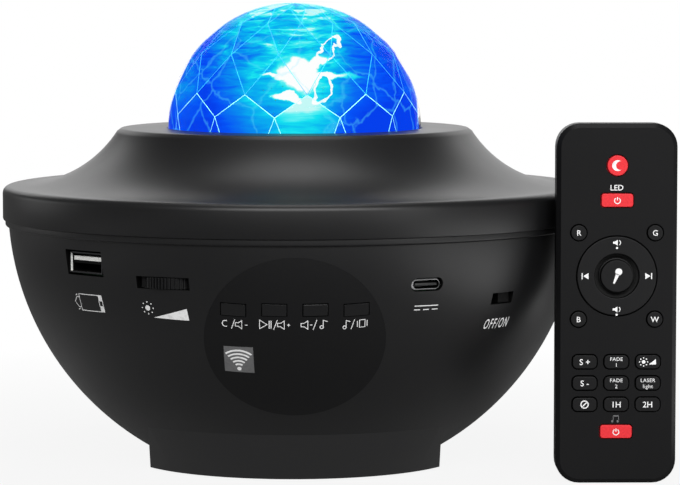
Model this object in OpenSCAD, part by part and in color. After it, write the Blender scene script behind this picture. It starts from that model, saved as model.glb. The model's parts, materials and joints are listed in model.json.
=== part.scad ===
// Star night light projector with a loudspeaker in its bowl, and its remote control.
// Millimetres, +Z up, controls towards -Y, origin on the table under the projector's axis.

/* [Bowl] */
// Radius of the side curve of the bowl
bowl_curve_r = 80.5; // [79:0.5:83]
// Distance of that curve's centre from the projector's axis
bowl_curve_out = 2; // [0:0.5:4]
// Height of that curve's centre
bowl_curve_z = 74.2; // [73:0.2:76]
// Wall thickness of the bowl
bowl_wall = 2.4; // [1.8:0.1:3]
// Height of the underside of the bowl's floor
bowl_floor_z = 4.6; // [4:0.1:5.6]
// Thickness of the bowl's floor
bowl_floor_t = 2.2; // [1.6:0.1:3]
// Height of the underside of the lip that carries the cover
lip_z = 68.2; // [67:0.2:70]
// Thickness of the lip
lip_h = 1.7; // [1.2:0.1:2.4]
// How far the lip stands out from the bowl
lip_step = 1; // [0.6:0.1:1.6]

/* [Cover] */
// How far the rim of the cover stands out from the lip
rim_step = 0.7; // [0.4:0.1:1.4]
// Height of the rim above the parting line
rim_h = 9.6; // [8:0.2:12]
// Rounding of the rim's upper edge
rim_round = 2; // [1:0.25:3]
// Wall thickness of the cover
cover_wall = 2.4; // [1.8:0.1:3]
// Radius of the hollow flank
flank_r = 34; // [31:0.5:38]
// How far inside the rim the flank begins
flank_in = 4.3; // [3.5:0.1:6]
// Rise from the rim to the flat top
top_rise = 16.4; // [14:0.2:18]
// Height of the tongue that locates the cover on the bowl
tongue_h = 3.2; // [2:0.2:5]
// Depth of the groove at the parting line
groove = 0.4; // [0.2:0.1:0.8]

/* [Dome] */
// Outer radius of the dome
dome_r = 36.4; // [34:0.2:38]
// Wall thickness of the dome
dome_wall = 2; // [1.4:0.1:3]
// How far the dome's centre lies below the flat top
dome_sink = 0.5; // [0:0.1:1.5]
// Width of the flange that holds the dome under the cover
dome_flange_w = 3.4; // [2.5:0.1:4]
// Thickness of that flange
dome_flange_t = 1.7; // [1.2:0.1:2.4]

/* [Pedestal] */
// Radius of the pedestal's lower edge
foot_r = 47.5; // [46:0.5:50]
// Height at which the pedestal runs into the bowl
pedestal_h = 14; // [12:0.5:16]
// Distance of the two side flats from the axis
flat_x = 41; // [39.5:0.25:42]
// Wall thickness of the pedestal
pedestal_wall = 2.2; // [1.6:0.1:2.8]
// Thickness of the pedestal's bottom plate
plate_t = 2.2; // [1.8:0.1:2.6]
// Middle radius of the anti-slip ring
ring_r = 37; // [36.5:0.1:37.2]
// Width of the anti-slip ring
ring_w = 2.4; // [1.6:0.1:2.6]
// How far the ring stands out below the pedestal
ring_proud = 0.6; // [0.4:0.1:1.2]
// How far the ring is let into the pedestal
ring_sunk = 1; // [0.6:0.1:1.4]
// Number of sound slots in each side flat
side_slots = 5; // [3:1:5]
// Width of a sound slot
slot_w = 3; // [2:0.1:3.6]
// Radius of one hole of the speaker grille
grille_hole_r = 1.3; // [1:0.1:1.6]

/* [Screws and bosses] */
// Radius of the screw shanks
screw_r = 1.5; // [1.2:0.1:1.7]
// Radius of the screw heads
head_r = 2.8; // [2.4:0.1:3]
// Height of the screw heads
head_h = 1.6; // [1.2:0.1:2]
// How far a screw reaches into its boss
screw_grip = 7; // [5:0.5:8]
// Radius of the screw bosses
boss_r = 3.2; // [2.9:0.1:3.5]
// Radius of the long posts under the cover
post_r = 3.6; // [3.2:0.1:3.8]
// Distance of the long posts from the axis
post_circle = 44.5; // [44:0.1:45]
// Height at which the long posts stand on the bowl
post_foot_z = 12; // [11:0.5:14]
// Distance of the pedestal screws from the axis
base_screw_circle = 32.5; // [32.4:0.1:32.8]
// Length of the pedestal bosses above the bowl's floor
base_boss_h = 7; // [6:0.5:9]

/* [Control panel] */
// Radius of the round label film
label_r = 24.5; // [23.5:0.5:26]
// Height of the label's centre
label_z = 41.2; // [40.6:0.2:42.6]
// Thickness of the label film
label_t = 0.5; // [0.3:0.1:0.7]
// How far the film stands out of its recess
label_proud = 0.1; // [0:0.05:0.2]
// Height of the button row
button_z = 50.9; // [50:0.2:52]
// Spacing of the buttons
button_pitch = 11; // [10.4:0.1:11.2]
// Width of a button
button_w = 6.5; // [6.2:0.1:7.2]
// Height of a button
button_h = 3.3; // [3:0.1:4]
// How far the button caps stand out of the bowl
button_proud = 0.35; // [0.2:0.05:0.6]
// Travel of a button
button_travel = 0.6; // [0.4:0.1:0.8]
// Depth of the button board's front behind the bowl's surface
board_depth = 10; // [9.8:0.1:11]

/* [Dimmer wheel] */
// Direction of the wheel, from the front towards +X
dimmer_angle = -26.2; // [-27:0.2:-26]
// Height of the middle of the wheel
dimmer_z = 57.5; // [56.5:0.25:58.5]
// Radius of the wheel
dimmer_r = 10; // [9:0.25:10.5]
// Thickness of the wheel
dimmer_t = 3; // [2.4:0.1:3.4]
// How far the wheel stands out of the bowl
dimmer_proud = 0.8; // [0.5:0.1:1.4]
// Number of grip ribs round the wheel
dimmer_ribs = 40; // [24:2:48]
// Depth of the grip ribs
dimmer_rib_h = 0.35; // [0.2:0.05:0.5]

/* [Sockets and switch] */
// Direction of the USB-A socket
usb_a_angle = -44.9; // [-46:0.1:-44.8]
// Height of the middle of the USB-A socket
usb_a_z = 61.7; // [61.2:0.1:62]
// Width of the USB-A shell
usb_a_w = 13.2; // [12.8:0.1:13.4]
// Height of the USB-A shell
usb_a_h = 5.7; // [5.4:0.1:5.9]
// Length of the USB-A shell
usb_a_len = 13.5; // [12:0.5:15]
// Direction of the USB-C socket
usb_c_angle = 26.2; // [25:0.2:27]
// Height of the middle of the USB-C socket
usb_c_z = 57.1; // [56:0.1:58]
// Width of the USB-C shell
usb_c_w = 8.9; // [8.7:0.1:9.2]
// Height of the USB-C shell
usb_c_h = 3.2; // [3:0.1:3.4]
// Length of the USB-C shell
usb_c_len = 7.5; // [6.5:0.5:9]
// Sheet thickness of the socket shells
shell_t = 0.4; // [0.3:0.05:0.5]
// Direction of the slide switch
switch_angle = 45.8; // [45:0.2:47]
// Height of the middle of the slide switch
switch_z = 51.75; // [51:0.25:52.5]
// Width of the slide switch's slot
switch_slot_w = 8.6; // [8:0.1:9.2]
// Height of the slide switch's slot
switch_slot_h = 3.2; // [2.8:0.1:3.6]
// Width of the switch's knob
knob_w = 4.6; // [4:0.1:5]
// Thickness of the small circuit boards and their shelves
board_t = 1.2; // [1:0.1:1.6]
// Thickness of the shelves inside the bowl
shelf_t = 2; // [1.6:0.2:2.4]

/* [Light works] */
// Radius of the lamp deck
deck_r = 51; // [50:0.5:52]
// Thickness of the lamp deck
deck_t = 2; // [1.6:0.1:2.6]
// Length of the cover bosses that carry the deck
deck_drop = 7.5; // [7.2:0.1:8]
// Distance of those bosses from the axis
deck_screw_circle = 43.6; // [43.4:0.1:44]
// Bore of the lamp tube at the condenser lens
lamp_bore_r = 16; // [15:0.25:16.5]
// Length of the lamp tube
lamp_tube_h = 12.4; // [11:0.2:14]
// Radius of the LED board
led_board_r = 24; // [23:0.5:25]
// Outer radius of the collar that the ripple disc turns on
collar_r = 19; // [18.5:0.1:19.1]
// Module of the gear teeth
gear_module = 1; // [0.96:0.01:1]
// Number of teeth round the ripple disc
ring_teeth = 46; // [46:1:47]
// Number of teeth of the motor pinion
pinion_teeth = 10; // [10:1:11]
// Number of teeth of the grating wheel
grating_teeth = 13; // [12:1:13]
// Width of the gear teeth
gear_w = 3; // [2.4:0.1:3]
// Radius of the motor
motor_r = 8; // [7:0.5:8.5]
// Length of the motor
motor_len = 20; // [16:0.5:24]
// Radius of the laser module
laser_r = 4; // [3.5:0.1:4]
// Length of the laser module
laser_len = 17; // [15:0.5:20]
// Running clearance of shafts and bearings
running = 0.06; // [0.04:0.01:0.09]

/* [Loudspeaker] */
// Radius of the speaker basket's flange
speaker_r = 29; // [28:0.1:29]
// Outer radius of the cone
cone_r = 23.3; // [22:0.1:23.4]
// Radius of the magnet
magnet_r = 13; // [11.5:0.5:14]
// Height of the magnet
magnet_h = 8.8; // [8:0.2:10]
// Height of the basket
basket_h = 13.4; // [12.6:0.2:14.4]
// Travel of the cone each way
cone_travel = 1; // [0.6:0.1:1.2]

/* [Main board] */
// Width of the main board
main_w = 62; // [60:1:66]
// Depth of the main board
main_d = 46; // [46:1:48]
// Height of the main board's underside
main_z = 34; // [33:0.5:36]
// Inset of the board's screws from its edges
main_inset = 4; // [3.5:0.1:4]

/* [Remote control] */
// Gap between the projector's rim and the nearest corner of the remote
remote_clear = 0.7; // [0.5:0.1:4]
// How far in front of the axis the remote's face stands
remote_front = 52; // [52:1:60]
// Width of the remote
remote_w = 33.2; // [32.8:0.1:33.4]
// Height of the remote
remote_h = 99.4; // [98:0.2:101]
// Thickness of the remote
remote_t = 16; // [15.9:0.1:16.2]
// Rounding of the remote's corners
remote_corner = 6.5; // [5.5:0.25:7.5]
// Bevel round the face
face_bevel = 1.2; // [0.8:0.1:1.6]
// Depth of the joint between the two shells
split_depth = 7.2; // [6.8:0.1:7.4]
// Bevel round the back
back_bevel = 4.8; // [4.6:0.1:5]
// Wall thickness of the remote
remote_wall = 1.4; // [1.2:0.1:1.5]
// Travel of the keys
key_travel = 0.5; // [0.4:0.05:0.5]
// How far the keys stand out
key_proud = 0.5; // [0.3:0.05:0.8]
// Outer radius of the D-pad ring
pad_r = 10.95; // [10.75:0.05:11.3]
// Inner radius of the D-pad ring
pad_in_r = 6.1; // [5.9:0.1:6.3]
// Radius of the D-pad's centre key
centre_key_r = 4.45; // [4.3:0.05:4.7]
// Radius of the round red key
red_key_r = 2.8; // [2.6:0.1:3.2]
// Width of the red power keys
power_key_w = 8.7; // [8.4:0.1:9.2]
// Height of the red power keys
power_key_h = 3.65; // [3.5:0.05:4]
// Radius of the four colour keys
colour_key_r = 2.15; // [2:0.05:2.3]
// Sideways distance of the colour keys from the middle
colour_key_x = 10.5; // [10.3:0.1:10.7]
// Width of the nine small keys
small_key_w = 6.7; // [6.4:0.1:6.9]
// Sideways spacing of the small keys
small_key_pitch = 8.7; // [8.6:0.05:8.9]
// Radius of an AAA cell
cell_r = 5.25; // [5.1:0.05:5.3]
// Length of an AAA cell
cell_len = 44.5; // [44:0.1:45]
// Height of the lower ends of the cells
cell_z = 9.5; // [9:0.1:10]
// Width of the battery door
door_w = 20.4; // [19.5:0.1:20.6]

/* [Hidden] */
$fn = 96;
curve_steps = 36;
gap = 0.25;
slip = 0.05;
cut = 1;
round_steps = 6;

// Heights and radii of the projector
part_z = lip_z + lip_h;
lip_r = bowl_r(lip_z) + lip_step;
rim_r = lip_r + rim_step;
rim_top_z = part_z + rim_h;
top_z = rim_top_z + top_rise;
flank_x = rim_r - flank_in;
flank_z = rim_top_z + flank_r;
top_edge_r = flank_x - sqrt(pow(flank_r, 2) - pow(flank_z - top_z, 2));
roof_z = top_z - cover_wall;
skirt_in_r = rim_r - cover_wall;
tongue_r = skirt_in_r - gap;
dome_z = top_z - dome_sink;
dome_hole_r = dome_r + gap;
flange_r = dome_r + dome_flange_w;
flange_z = roof_z - dome_flange_t;
floor_top = bowl_floor_z + bowl_floor_t;
deck_top = roof_z - deck_drop;
deck_z = deck_top - deck_t;
lamp_z = deck_z - lamp_tube_h;
led_z = lamp_z - board_t;
plate_top = ring_proud + plate_t;
mouth_r = cone_r + gap;

// Gear train on the lamp deck
gear_z = deck_top + gap;
frame_window_w = 8;
motor_angle = 90;
grating_angle = -5 * 360 / ring_teeth;
mesh_play = 0.1;
motor_circle = (ring_teeth + pinion_teeth) * gear_module / 2 + mesh_play;
grating_circle = (ring_teeth + grating_teeth) * gear_module / 2 + mesh_play;
collar_h = gear_w + 1.8;
lamp_wall = 1.8;
shaft_r = 1;
grating_collar_r = 4.2;
disc_r = ring_teeth * gear_module / 2 - 1.6;
disc_t = 1.5;

// Control panel
label_tilt = bowl_tilt(label_z);
button_tilt = bowl_tilt(button_z);
button_xs = [for (i = [-1.5, -0.5, 0.5, 1.5]) i * button_pitch];
panel_board_w = 3 * button_pitch + 8;
panel_board_up = 3.5;
panel_board_down = 19;
tact_size = 4.5;
tact_h = 2.4;
tact_well = 1.3;
stem_r = 1.2;
cap_flange_t = 0.8;
cap_flange_w = 0.8;
panel_screws = [[-1.5 * button_pitch - 1, -7], [1.5 * button_pitch + 1, -7], [0, -13]];
panel_boss_r = 1.9;
panel_hole_r = 0.9;
receiver_x = -15;
receiver_drop = 15;
receiver_w = 6;
receiver_t = 3;
receiver_window_r = 3;

// Sockets, wheel and switch
port_gap = 0.35;
dimmer_axle_r = 1;
pot_w = 9;
pot_h = 2.8;
dimmer_circle = bowl_r(dimmer_z) + dimmer_proud - dimmer_r;
dimmer_slot_w = 16;
knob_h = switch_slot_h - 2 * gap;
knob_travel = (switch_slot_w - knob_w) / 2 - gap;
switch_w = switch_slot_w + 3;
switch_h = 5.4;
switch_d = 5;
knob_tongue = 1.4;

// Remote control
remote_x = sqrt(pow(rim_r + remote_clear, 2) - pow(remote_front - remote_t, 2))
    + remote_w / 2 - back_bevel;
rest_gap = 0.15;
key_gap = 0.3;
red_key_z = 0.884 * remote_h;
light_key_z = 0.788 * remote_h;
pad_z = 0.578 * remote_h;
colour_key_step = 0.12 * remote_h;
small_key_z = 0.221 * remote_h;
small_key_rise = 0.0593 * remote_h;
small_key_h = 0.0382 * remote_h;
music_key_z = 0.145 * remote_h;
key_flange = 0.5;
key_flange_w = 0.5;
key_seat = remote_wall + rest_gap;
mat_depth = key_seat + key_flange + key_travel + rest_gap;
mat_t = 0.5;
remote_board_depth = mat_depth + mat_t;
remote_board_t = 0.8;
remote_board_back = remote_board_depth + remote_board_t;
cell_depth = remote_board_back + rest_gap + cell_r;
cell_x = cell_r + rest_gap / 2;
door_t = 1.2;
door_depth = remote_t - door_t;
door_low = cell_z - 3;
door_high = cell_z + cell_len + 3.5;
door_pin_r = 0.4;
door_gap = 0.3;
pad_back = key_seat + slip;
emitter_r = 1.3;
rocker_r = 7.5;
rocker_t = 0.3;
nub_r = 0.5;

// Every separate piece, in the order of assembly

// Outer radius of the bowl at a height, and the height at a radius
function bowl_r(z) = bowl_curve_out + sqrt(pow(bowl_curve_r, 2) - pow(z - bowl_curve_z, 2));
function bowl_height(r) = bowl_curve_z - sqrt(pow(bowl_curve_r, 2) - pow(r - bowl_curve_out, 2));
// Inner radius of the bowl at a height
function bowl_in_r(z) =
    bowl_curve_out + sqrt(pow(bowl_curve_r - bowl_wall, 2) - pow(z - bowl_curve_z, 2));
// Angle by which the bowl's surface faces down at a height
function bowl_tilt(z) = asin((bowl_curve_z - z) / bowl_curve_r);
// Outer radius of the pedestal at a height
function pedestal_r(z) = foot_r + (bowl_r(pedestal_h) - foot_r) * z / pedestal_h;
// Points along an arc, from one angle to another
function arc(x, y, r, from, to, steps = round_steps) =
    [for (i = [0:steps]) let (a = from + (to - from) * i / steps) [x + r * cos(a), y + r * sin(a)]];
// Points of the bowl's curve between two heights, moved outwards by grow
function bowl_curve(z0, z1, grow = 0, steps = curve_steps) =
    arc(bowl_curve_out, bowl_curve_z, bowl_curve_r + grow,
        asin((z0 - bowl_curve_z) / (bowl_curve_r + grow)),
        asin((z1 - bowl_curve_z) / (bowl_curve_r + grow)), steps);
// Points of the cover's flank at a distance inside its surface, from the rim to a height
function flank_curve(inset, z) =
    arc(flank_x, flank_z, flank_r + inset, 270,
        180 + asin((flank_z - z) / (flank_r + inset)), curve_steps);
// Turn that brings a wheel into mesh with the ring gear at an angle
function mesh_turn(angle, teeth) = angle * (1 + ring_teeth / teeth) + 180 + 180 / teeth;
// Depth at which a flat flange of half width x clears the inside of the curved wall
function wall_depth(x) = bowl_wall + pow(x, 2) / (2 * bowl_in_r(button_z)) + gap;
// Fall of a button x from the middle, so that the row stays level on the round wall
function button_fall(x) = pow(x, 2) / (2 * bowl_r(button_z)) * tan(button_tilt);

// Solid inside the bowl's surface, moved outwards by grow
module bowl_solid(grow = 0) {
    rotate_extrude()
        polygon(concat([[0, bowl_floor_z]], bowl_curve(bowl_floor_z, part_z, grow), [[0, part_z]]));
}

// Places children on the bowl's surface, with -Y outwards
module on_bowl(angle, z) {
    rotate([0, 0, angle])
        translate([0, -bowl_r(z), z])
            children();
}

// Places children in the tilted frame of the button row, with -Y outwards
module on_panel() {
    on_bowl(0, button_z)
        rotate([button_tilt, 0, 0])
            children();
}

// Places children at the button whose middle is x from the row's
module at_button(x) {
    on_panel()
        translate([x, 0, -button_fall(x)])
            children();
}

// A block centred across, from one depth to another
module block(w, h, d0, d1) {
    translate([-w / 2, d0, -h / 2])
        cube([w, d1 - d0, h]);
}

// A round pin along the depth, from one depth to another
module pin(r, d0, d1) {
    translate([0, d1, 0])
        rotate([90, 0, 0])
            cylinder(r = r, h = d1 - d0);
}

// A flat shape pushed through the depth, from one depth to another
module slab(d0, d1) {
    translate([0, d1, 0])
        rotate([90, 0, 0])
            linear_extrude(height = d1 - d0)
                children();
}

// A rectangle with round corners
module soft_rect(w, h, r) {
    square([w - 2 * r, h], center = true);
    square([w, h - 2 * r], center = true);
    for (x = [-1, 1], y = [-1, 1])
        translate([x * (w / 2 - r), y * (h / 2 - r)])
            circle(r = r);
}

// A flat ring
module washer(r_out, r_in, h) {
    difference() {
        cylinder(r = r_out, h = h);
        translate([0, 0, -cut])
            cylinder(r = r_in, h = h + 2 * cut);
    }
}

// A screw with its head down, its shank upwards from the head's top
module screw(z, grip) {
    translate([0, 0, z - head_h])
        cylinder(r = head_r, h = head_h);
    translate([0, 0, z])
        cylinder(r = screw_r, h = grip);
}

// Children at a number of places round the axis
module around(count, r, start = 0) {
    for (i = [0:count - 1])
        rotate([0, 0, start + i * 360 / count])
            translate([r, 0, 0])
                children();
}

// Children at the four corners of the main board
module at_board_corners() {
    for (x = [-1, 1], y = [-1, 1])
        translate([x * (main_w / 2 - main_inset), y * (main_d / 2 - main_inset), 0])
            children();
}

// A gear, turned by an angle, with a bore
module gear(teeth, turn, w, bore) {
    pitch_r = teeth * gear_module / 2;
    flank = [[-1.15, 0.95], [0, 0.62], [0.95, 0.3]];
    difference() {
        linear_extrude(height = w)
            polygon([
                for (k = [0:teeth - 1], side = [-1, 1], i = [0:2])
                    let (p = flank[side < 0 ? i : 2 - i],
                         r = pitch_r + p[0] * gear_module,
                         a = turn + 360 * k / teeth + side * p[1] * gear_module / r * 180 / PI)
                    [r * cos(a), r * sin(a)]
            ]);
        if (bore > 0)
            translate([0, 0, -cut])
                cylinder(r = bore, h = w + 2 * cut);
    }
}

// ---- Housing ----

module bowl_shell() {
    rotate_extrude()
        polygon(concat(
            [[mouth_r, bowl_floor_z]],
            bowl_curve(bowl_floor_z, lip_z),
            [[lip_r - lip_h / 3, lip_z], [lip_r, lip_z + lip_h / 3], [lip_r, part_z],
             [tongue_r, part_z], [tongue_r, part_z + tongue_h],
             [bowl_in_r(part_z), part_z + tongue_h]],
            bowl_curve(part_z, floor_top, -bowl_wall),
            [[mouth_r, floor_top]]));
}

// Shelf inside the wall that carries a small board whose underside is at a height
module shelf(angle, z, w, reach) {
    rotate([0, 0, angle])
        translate([-w / 2, -bowl_in_r(z) - bowl_wall / 2, z - shelf_t])
            cube([w, reach, shelf_t]);
}

module bowl_inside() {
    around(4, post_circle, 45)
        translate([0, 0, bowl_floor_z])
            cylinder(r = post_r + 0.6, h = post_foot_z - bowl_floor_z);
    around(4, base_screw_circle)
        translate([0, 0, bowl_floor_z])
            cylinder(r = boss_r, h = bowl_floor_t + base_boss_h);
    at_board_corners()
        translate([0, 0, bowl_floor_z])
            cylinder(r = boss_r, h = main_z - bowl_floor_z);
    on_panel()
        for (p = panel_screws)
            translate([p[0], 0, p[1]])
                pin(panel_boss_r, 0, board_depth);
    shelf(dimmer_angle, dimmer_board_z(), pot_w + 2, pot_w + 4);
    shelf(usb_a_angle, usb_a_board_z(), usb_a_w + 2, usb_a_len);
    shelf(usb_c_angle, usb_c_board_z(), usb_c_w + 3, usb_c_len + 1.5);
    shelf(switch_angle, switch_z - switch_h / 2, switch_w + 2, switch_d + 4.5);
}

function dimmer_board_z() = dimmer_z - dimmer_t / 2 - gap - pot_h - board_t;
function usb_a_board_z() = usb_a_z - usb_a_h / 2 - board_t;
function usb_c_board_z() = usb_c_z - usb_c_h / 2 - board_t;

// Everything that is cut out of the bowl
module bowl_cuts() {
    around(4, post_circle, 45) {
        translate([0, 0, -cut])
            cylinder(r = head_r + gap, h = bowl_floor_z + bowl_floor_t + head_h + cut);
        cylinder(r = screw_r + slip, h = post_foot_z + cut);
    }
    around(4, base_screw_circle)
        cylinder(r = screw_r + slip, h = floor_top + base_boss_h + cut);
    at_board_corners()
        translate([0, 0, main_z - screw_grip])
            cylinder(r = screw_r + slip, h = screw_grip + cut);
    for (x = button_xs)
        at_button(x)
            block(button_w + 2 * gap, button_h + 2 * gap, -5, board_depth - 5);
    on_panel()
        translate([receiver_x, 0, -receiver_drop])
            pin(receiver_window_r, -5, board_depth - receiver_t);
    label_pocket(label_proud - label_t - slip / 2, gap / 2);
    on_bowl(dimmer_angle, dimmer_z)
        block(dimmer_slot_w, dimmer_t + 2 * gap - 0.1, -5, dimmer_r);
    on_bowl(usb_a_angle, usb_a_z)
        block(usb_a_w + 2 * port_gap, usb_a_h + gap, -5, 8);
    on_bowl(usb_c_angle, usb_c_z)
        slab(-5, 6)
            soft_rect(usb_c_w + 2 * port_gap, usb_c_h + gap, usb_c_h / 2);
    on_bowl(switch_angle, switch_z)
        block(switch_slot_w, switch_slot_h, -5, 6);
}

// Round disc through the bowl's wall, cut back to what lies outside a depth
module label_pocket(depth, extra) {
    difference() {
        on_bowl(0, label_z)
            rotate([label_tilt, 0, 0])
                pin(label_r + extra, -4, 8);
        bowl_solid(depth);
    }
}

module bowl_housing() {
    color([0.11, 0.11, 0.12])
        difference() {
            union() {
                bowl_shell();
                intersection() {
                    bowl_solid(-bowl_wall / 2);
                    bowl_inside();
                }
            }
            bowl_cuts();
        }
}

module control_label() {
    color([0.07, 0.07, 0.075])
        difference() {
            intersection() {
                label_pocket(label_proud - label_t, 0);
                bowl_solid(label_proud);
            }
            for (x = button_xs)
                at_button(x)
                    block(button_w + 2 * gap, button_h + 2 * gap, -5, board_depth);
        }
}

module top_cover() {
    color([0.12, 0.12, 0.13])
        difference() {
            union() {
                rotate_extrude()
                    polygon(concat(
                        [[rim_r - groove, part_z + slip], [rim_r, part_z + groove]],
                        arc(rim_r - rim_round, rim_top_z - rim_round, rim_round, 0, 90),
                        flank_curve(0, top_z - 0.5),
                        [[top_edge_r - 0.6, top_z], [dome_hole_r, top_z], [dome_hole_r, roof_z]],
                        [for (i = [curve_steps:-1:0]) flank_curve(cover_wall, roof_z)[i]],
                        [[skirt_in_r, rim_top_z - cover_wall], [skirt_in_r, part_z + slip]]));
                around(4, post_circle, 45)
                    translate([0, 0, post_foot_z])
                        cylinder(r = post_r, h = roof_z - post_foot_z + cover_wall / 2);
                around(4, deck_screw_circle)
                    translate([0, 0, deck_top])
                        cylinder(r = boss_r, h = deck_drop + cover_wall / 2);
            }
            around(4, post_circle, 45)
                translate([0, 0, post_foot_z - cut])
                    cylinder(r = screw_r + slip, h = screw_grip + cut);
            around(4, deck_screw_circle)
                translate([0, 0, deck_top - cut])
                    cylinder(r = screw_r + slip, h = deck_drop);
        }
}

module dome_lens() {
    color([0.1, 0.45, 1, 0.55])
        rotate_extrude()
            difference() {
                union() {
                    intersection() {
                        translate([0, dome_z])
                            circle(r = dome_r);
                        translate([0, dome_z])
                            square([dome_r + cut, dome_r + cut]);
                    }
                    translate([0, flange_z])
                        square([dome_r, dome_z - flange_z]);
                    translate([0, flange_z])
                        square([flange_r, dome_flange_t]);
                }
                translate([0, dome_z])
                    circle(r = dome_r - dome_wall);
                translate([0, flange_z - cut])
                    square([dome_r - dome_wall, dome_z - flange_z + cut]);
            }
}

// ---- Pedestal ----

module pedestal_core(inset, z0, z1) {
    intersection() {
        translate([0, 0, z0])
            cylinder(r1 = pedestal_r(z0) - inset, r2 = pedestal_r(z1) - inset, h = z1 - z0);
        translate([-flat_x + inset, -2 * foot_r, z0])
            cube([2 * (flat_x - inset), 4 * foot_r, z1 - z0]);
    }
}

module pedestal() {
    slot_pitch = 10;
    color([0.12, 0.12, 0.13])
        difference() {
            union() {
                difference() {
                    pedestal_core(0, ring_proud, pedestal_h);
                    pedestal_core(pedestal_wall, plate_top, pedestal_h + cut);
                }
                around(4, base_screw_circle)
                    translate([0, 0, ring_proud])
                        cylinder(r = boss_r, h = bowl_floor_z - ring_proud);
            }
            bowl_solid(slip);
            around(4, base_screw_circle) {
                cylinder(r = screw_r + slip, h = bowl_floor_z + cut);
                cylinder(r = head_r + gap, h = ring_proud + head_h + gap);
            }
            difference() {
                cylinder(r = ring_r + ring_w / 2 + slip, h = ring_proud + ring_sunk);
                cylinder(r = ring_r - ring_w / 2 - slip, h = 2 * ring_proud + 2 * ring_sunk);
            }
            for (ring = [1:3])
                around(6 * ring, 7 * ring)
                    cylinder(r = grille_hole_r, h = plate_top + cut);
            for (side = [-1, 1], i = [0:side_slots - 1])
                translate([side * flat_x, (i - (side_slots - 1) / 2) * slot_pitch, plate_top + cut / 2])
                    translate([-2 * pedestal_wall, -slot_w / 2, 0])
                        cube([4 * pedestal_wall, slot_w, pedestal_h]);
        }
}

module anti_slip_ring() {
    color([0.2, 0.2, 0.2])
        washer_at(0, ring_r + ring_w / 2, ring_r - ring_w / 2, ring_proud + ring_sunk);
}

module washer_at(z, r_out, r_in, h) {
    translate([0, 0, z])
        washer(r_out, r_in, h);
}

module housing_screws() {
    post_head_z = bowl_floor_z + bowl_floor_t + head_h;
    color([0.7, 0.7, 0.72]) {
        around(4, post_circle, 45)
            screw(post_head_z, post_foot_z + screw_grip - post_head_z - gap);
        around(4, base_screw_circle)
            screw(ring_proud + head_h + gap, floor_top + base_boss_h - ring_proud - head_h - 2 * gap);
        around(4, deck_screw_circle)
            screw(deck_z, deck_t + deck_drop - 1.5);
        at_board_corners()
            translate([0, 0, main_z + board_t])
                mirror([0, 0, 1])
                    screw(0, screw_grip);
        around(3, lamp_screw_circle(), 30)
            screw(led_z, screw_grip);
    }
}

function lamp_screw_circle() = lamp_bore_r + lamp_wall + screw_r + 0.5;

// ---- Loudspeaker ----

module speaker_frame() {
    back_z = floor_top + basket_h;
    color([0.25, 0.26, 0.28])
        difference() {
            rotate_extrude()
                polygon([
                    [mouth_r, floor_top], [speaker_r, floor_top], [speaker_r, floor_top + 1.5],
                    [mouth_r + 1.2, floor_top + 1.5], [mouth_r + 1.2, floor_top + 4.5],
                    [magnet_r - 0.3, back_z], [7.8, back_z], [7.8, back_z - 1.2],
                    [magnet_r - 1.4, back_z - 1.2], [mouth_r, floor_top + 4]]);
            for (i = [0:3])
                rotate([0, 0, 45 + 90 * i])
                    translate([magnet_r + 1, -frame_window_w / 2, floor_top + 6])
                        cube([speaker_r, frame_window_w, basket_h - 8.4]);
        }
}

module speaker_magnet() {
    magnet_z = floor_top + basket_h;
    back_t = 2;
    color([0.3, 0.3, 0.32]) {
        difference() {
            translate([0, 0, magnet_z])
                cylinder(r = magnet_r, h = magnet_h);
            translate([0, 0, magnet_z - cut])
                cylinder(r = 7.8, h = magnet_h - back_t + cut);
        }
        translate([0, 0, magnet_z - 1])
            cylinder(r = 5.6, h = magnet_h - back_t + 1.5);
    }
}

module speaker_cone() {
    cone_z = floor_top + 2.4;
    neck_z = floor_top + basket_h - 4;
    color([0.16, 0.16, 0.17]) {
        rotate_extrude()
            polygon([
                [cone_r, cone_z], [cone_r, cone_z + 0.6], [cone_r - 2.4, cone_z + 0.6],
                [6.9, neck_z], [6.9, neck_z + 8], [6.3, neck_z + 8], [6.3, neck_z],
                [0, neck_z - 1.6], [0, neck_z - 2.2], [6.4, neck_z - 1], [cone_r - 2.5, cone_z]]);
    }
}

// ---- Boards ----

module main_board() {
    color([0.05, 0.3, 0.15])
        difference() {
            translate([-main_w / 2, -main_d / 2, main_z])
                cube([main_w, main_d, board_t]);
            at_board_corners()
                translate([0, 0, main_z - cut])
                    cylinder(r = screw_r + slip, h = board_t + 2 * cut);
        }
}

// Parts soldered to the main board: centre, size and height of each
module board_components() {
    blocks = [[-12, 2, 14, 14, 1.4], [9, 6, 15, 18, 2], [24, 4, 8, 6, 4], [-26, 6, 6, 10, 3.2],
              [-4, -18, 12, 5, 6], [12, -18, 9, 5, 6], [-18, -17, 8, 5, 6]];
    cans = [[22, -8, 4, 10], [-26, -6, 3.2, 8], [-3, 17, 3.2, 8]];
    top = main_z + board_t;
    color([0.15, 0.15, 0.16]) {
        for (b = blocks)
            translate([b[0] - b[2] / 2, b[1] - b[3] / 2, top])
                cube([b[2], b[3], b[4]]);
        for (c = cans)
            translate([c[0], c[1], top])
                cylinder(r = c[2], h = c[3]);
    }
}

module button_board() {
    color([0.05, 0.3, 0.15])
        on_panel()
            difference() {
                translate([-panel_board_w / 2, board_depth, -panel_board_down])
                    cube([panel_board_w, board_t, panel_board_down + panel_board_up]);
                for (p = panel_screws)
                    translate([p[0], 0, p[1]])
                        pin(panel_hole_r, board_depth - cut, board_depth + board_t + cut);
            }
}

module tact_switches() {
    color([0.1, 0.1, 0.1])
        for (x = button_xs)
            at_button(x)
                difference() {
                    block(tact_size, tact_size, board_depth - tact_h, board_depth);
                    pin(stem_r + running, board_depth - tact_h - cut, board_depth - tact_h + tact_well);
                }
}

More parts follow.
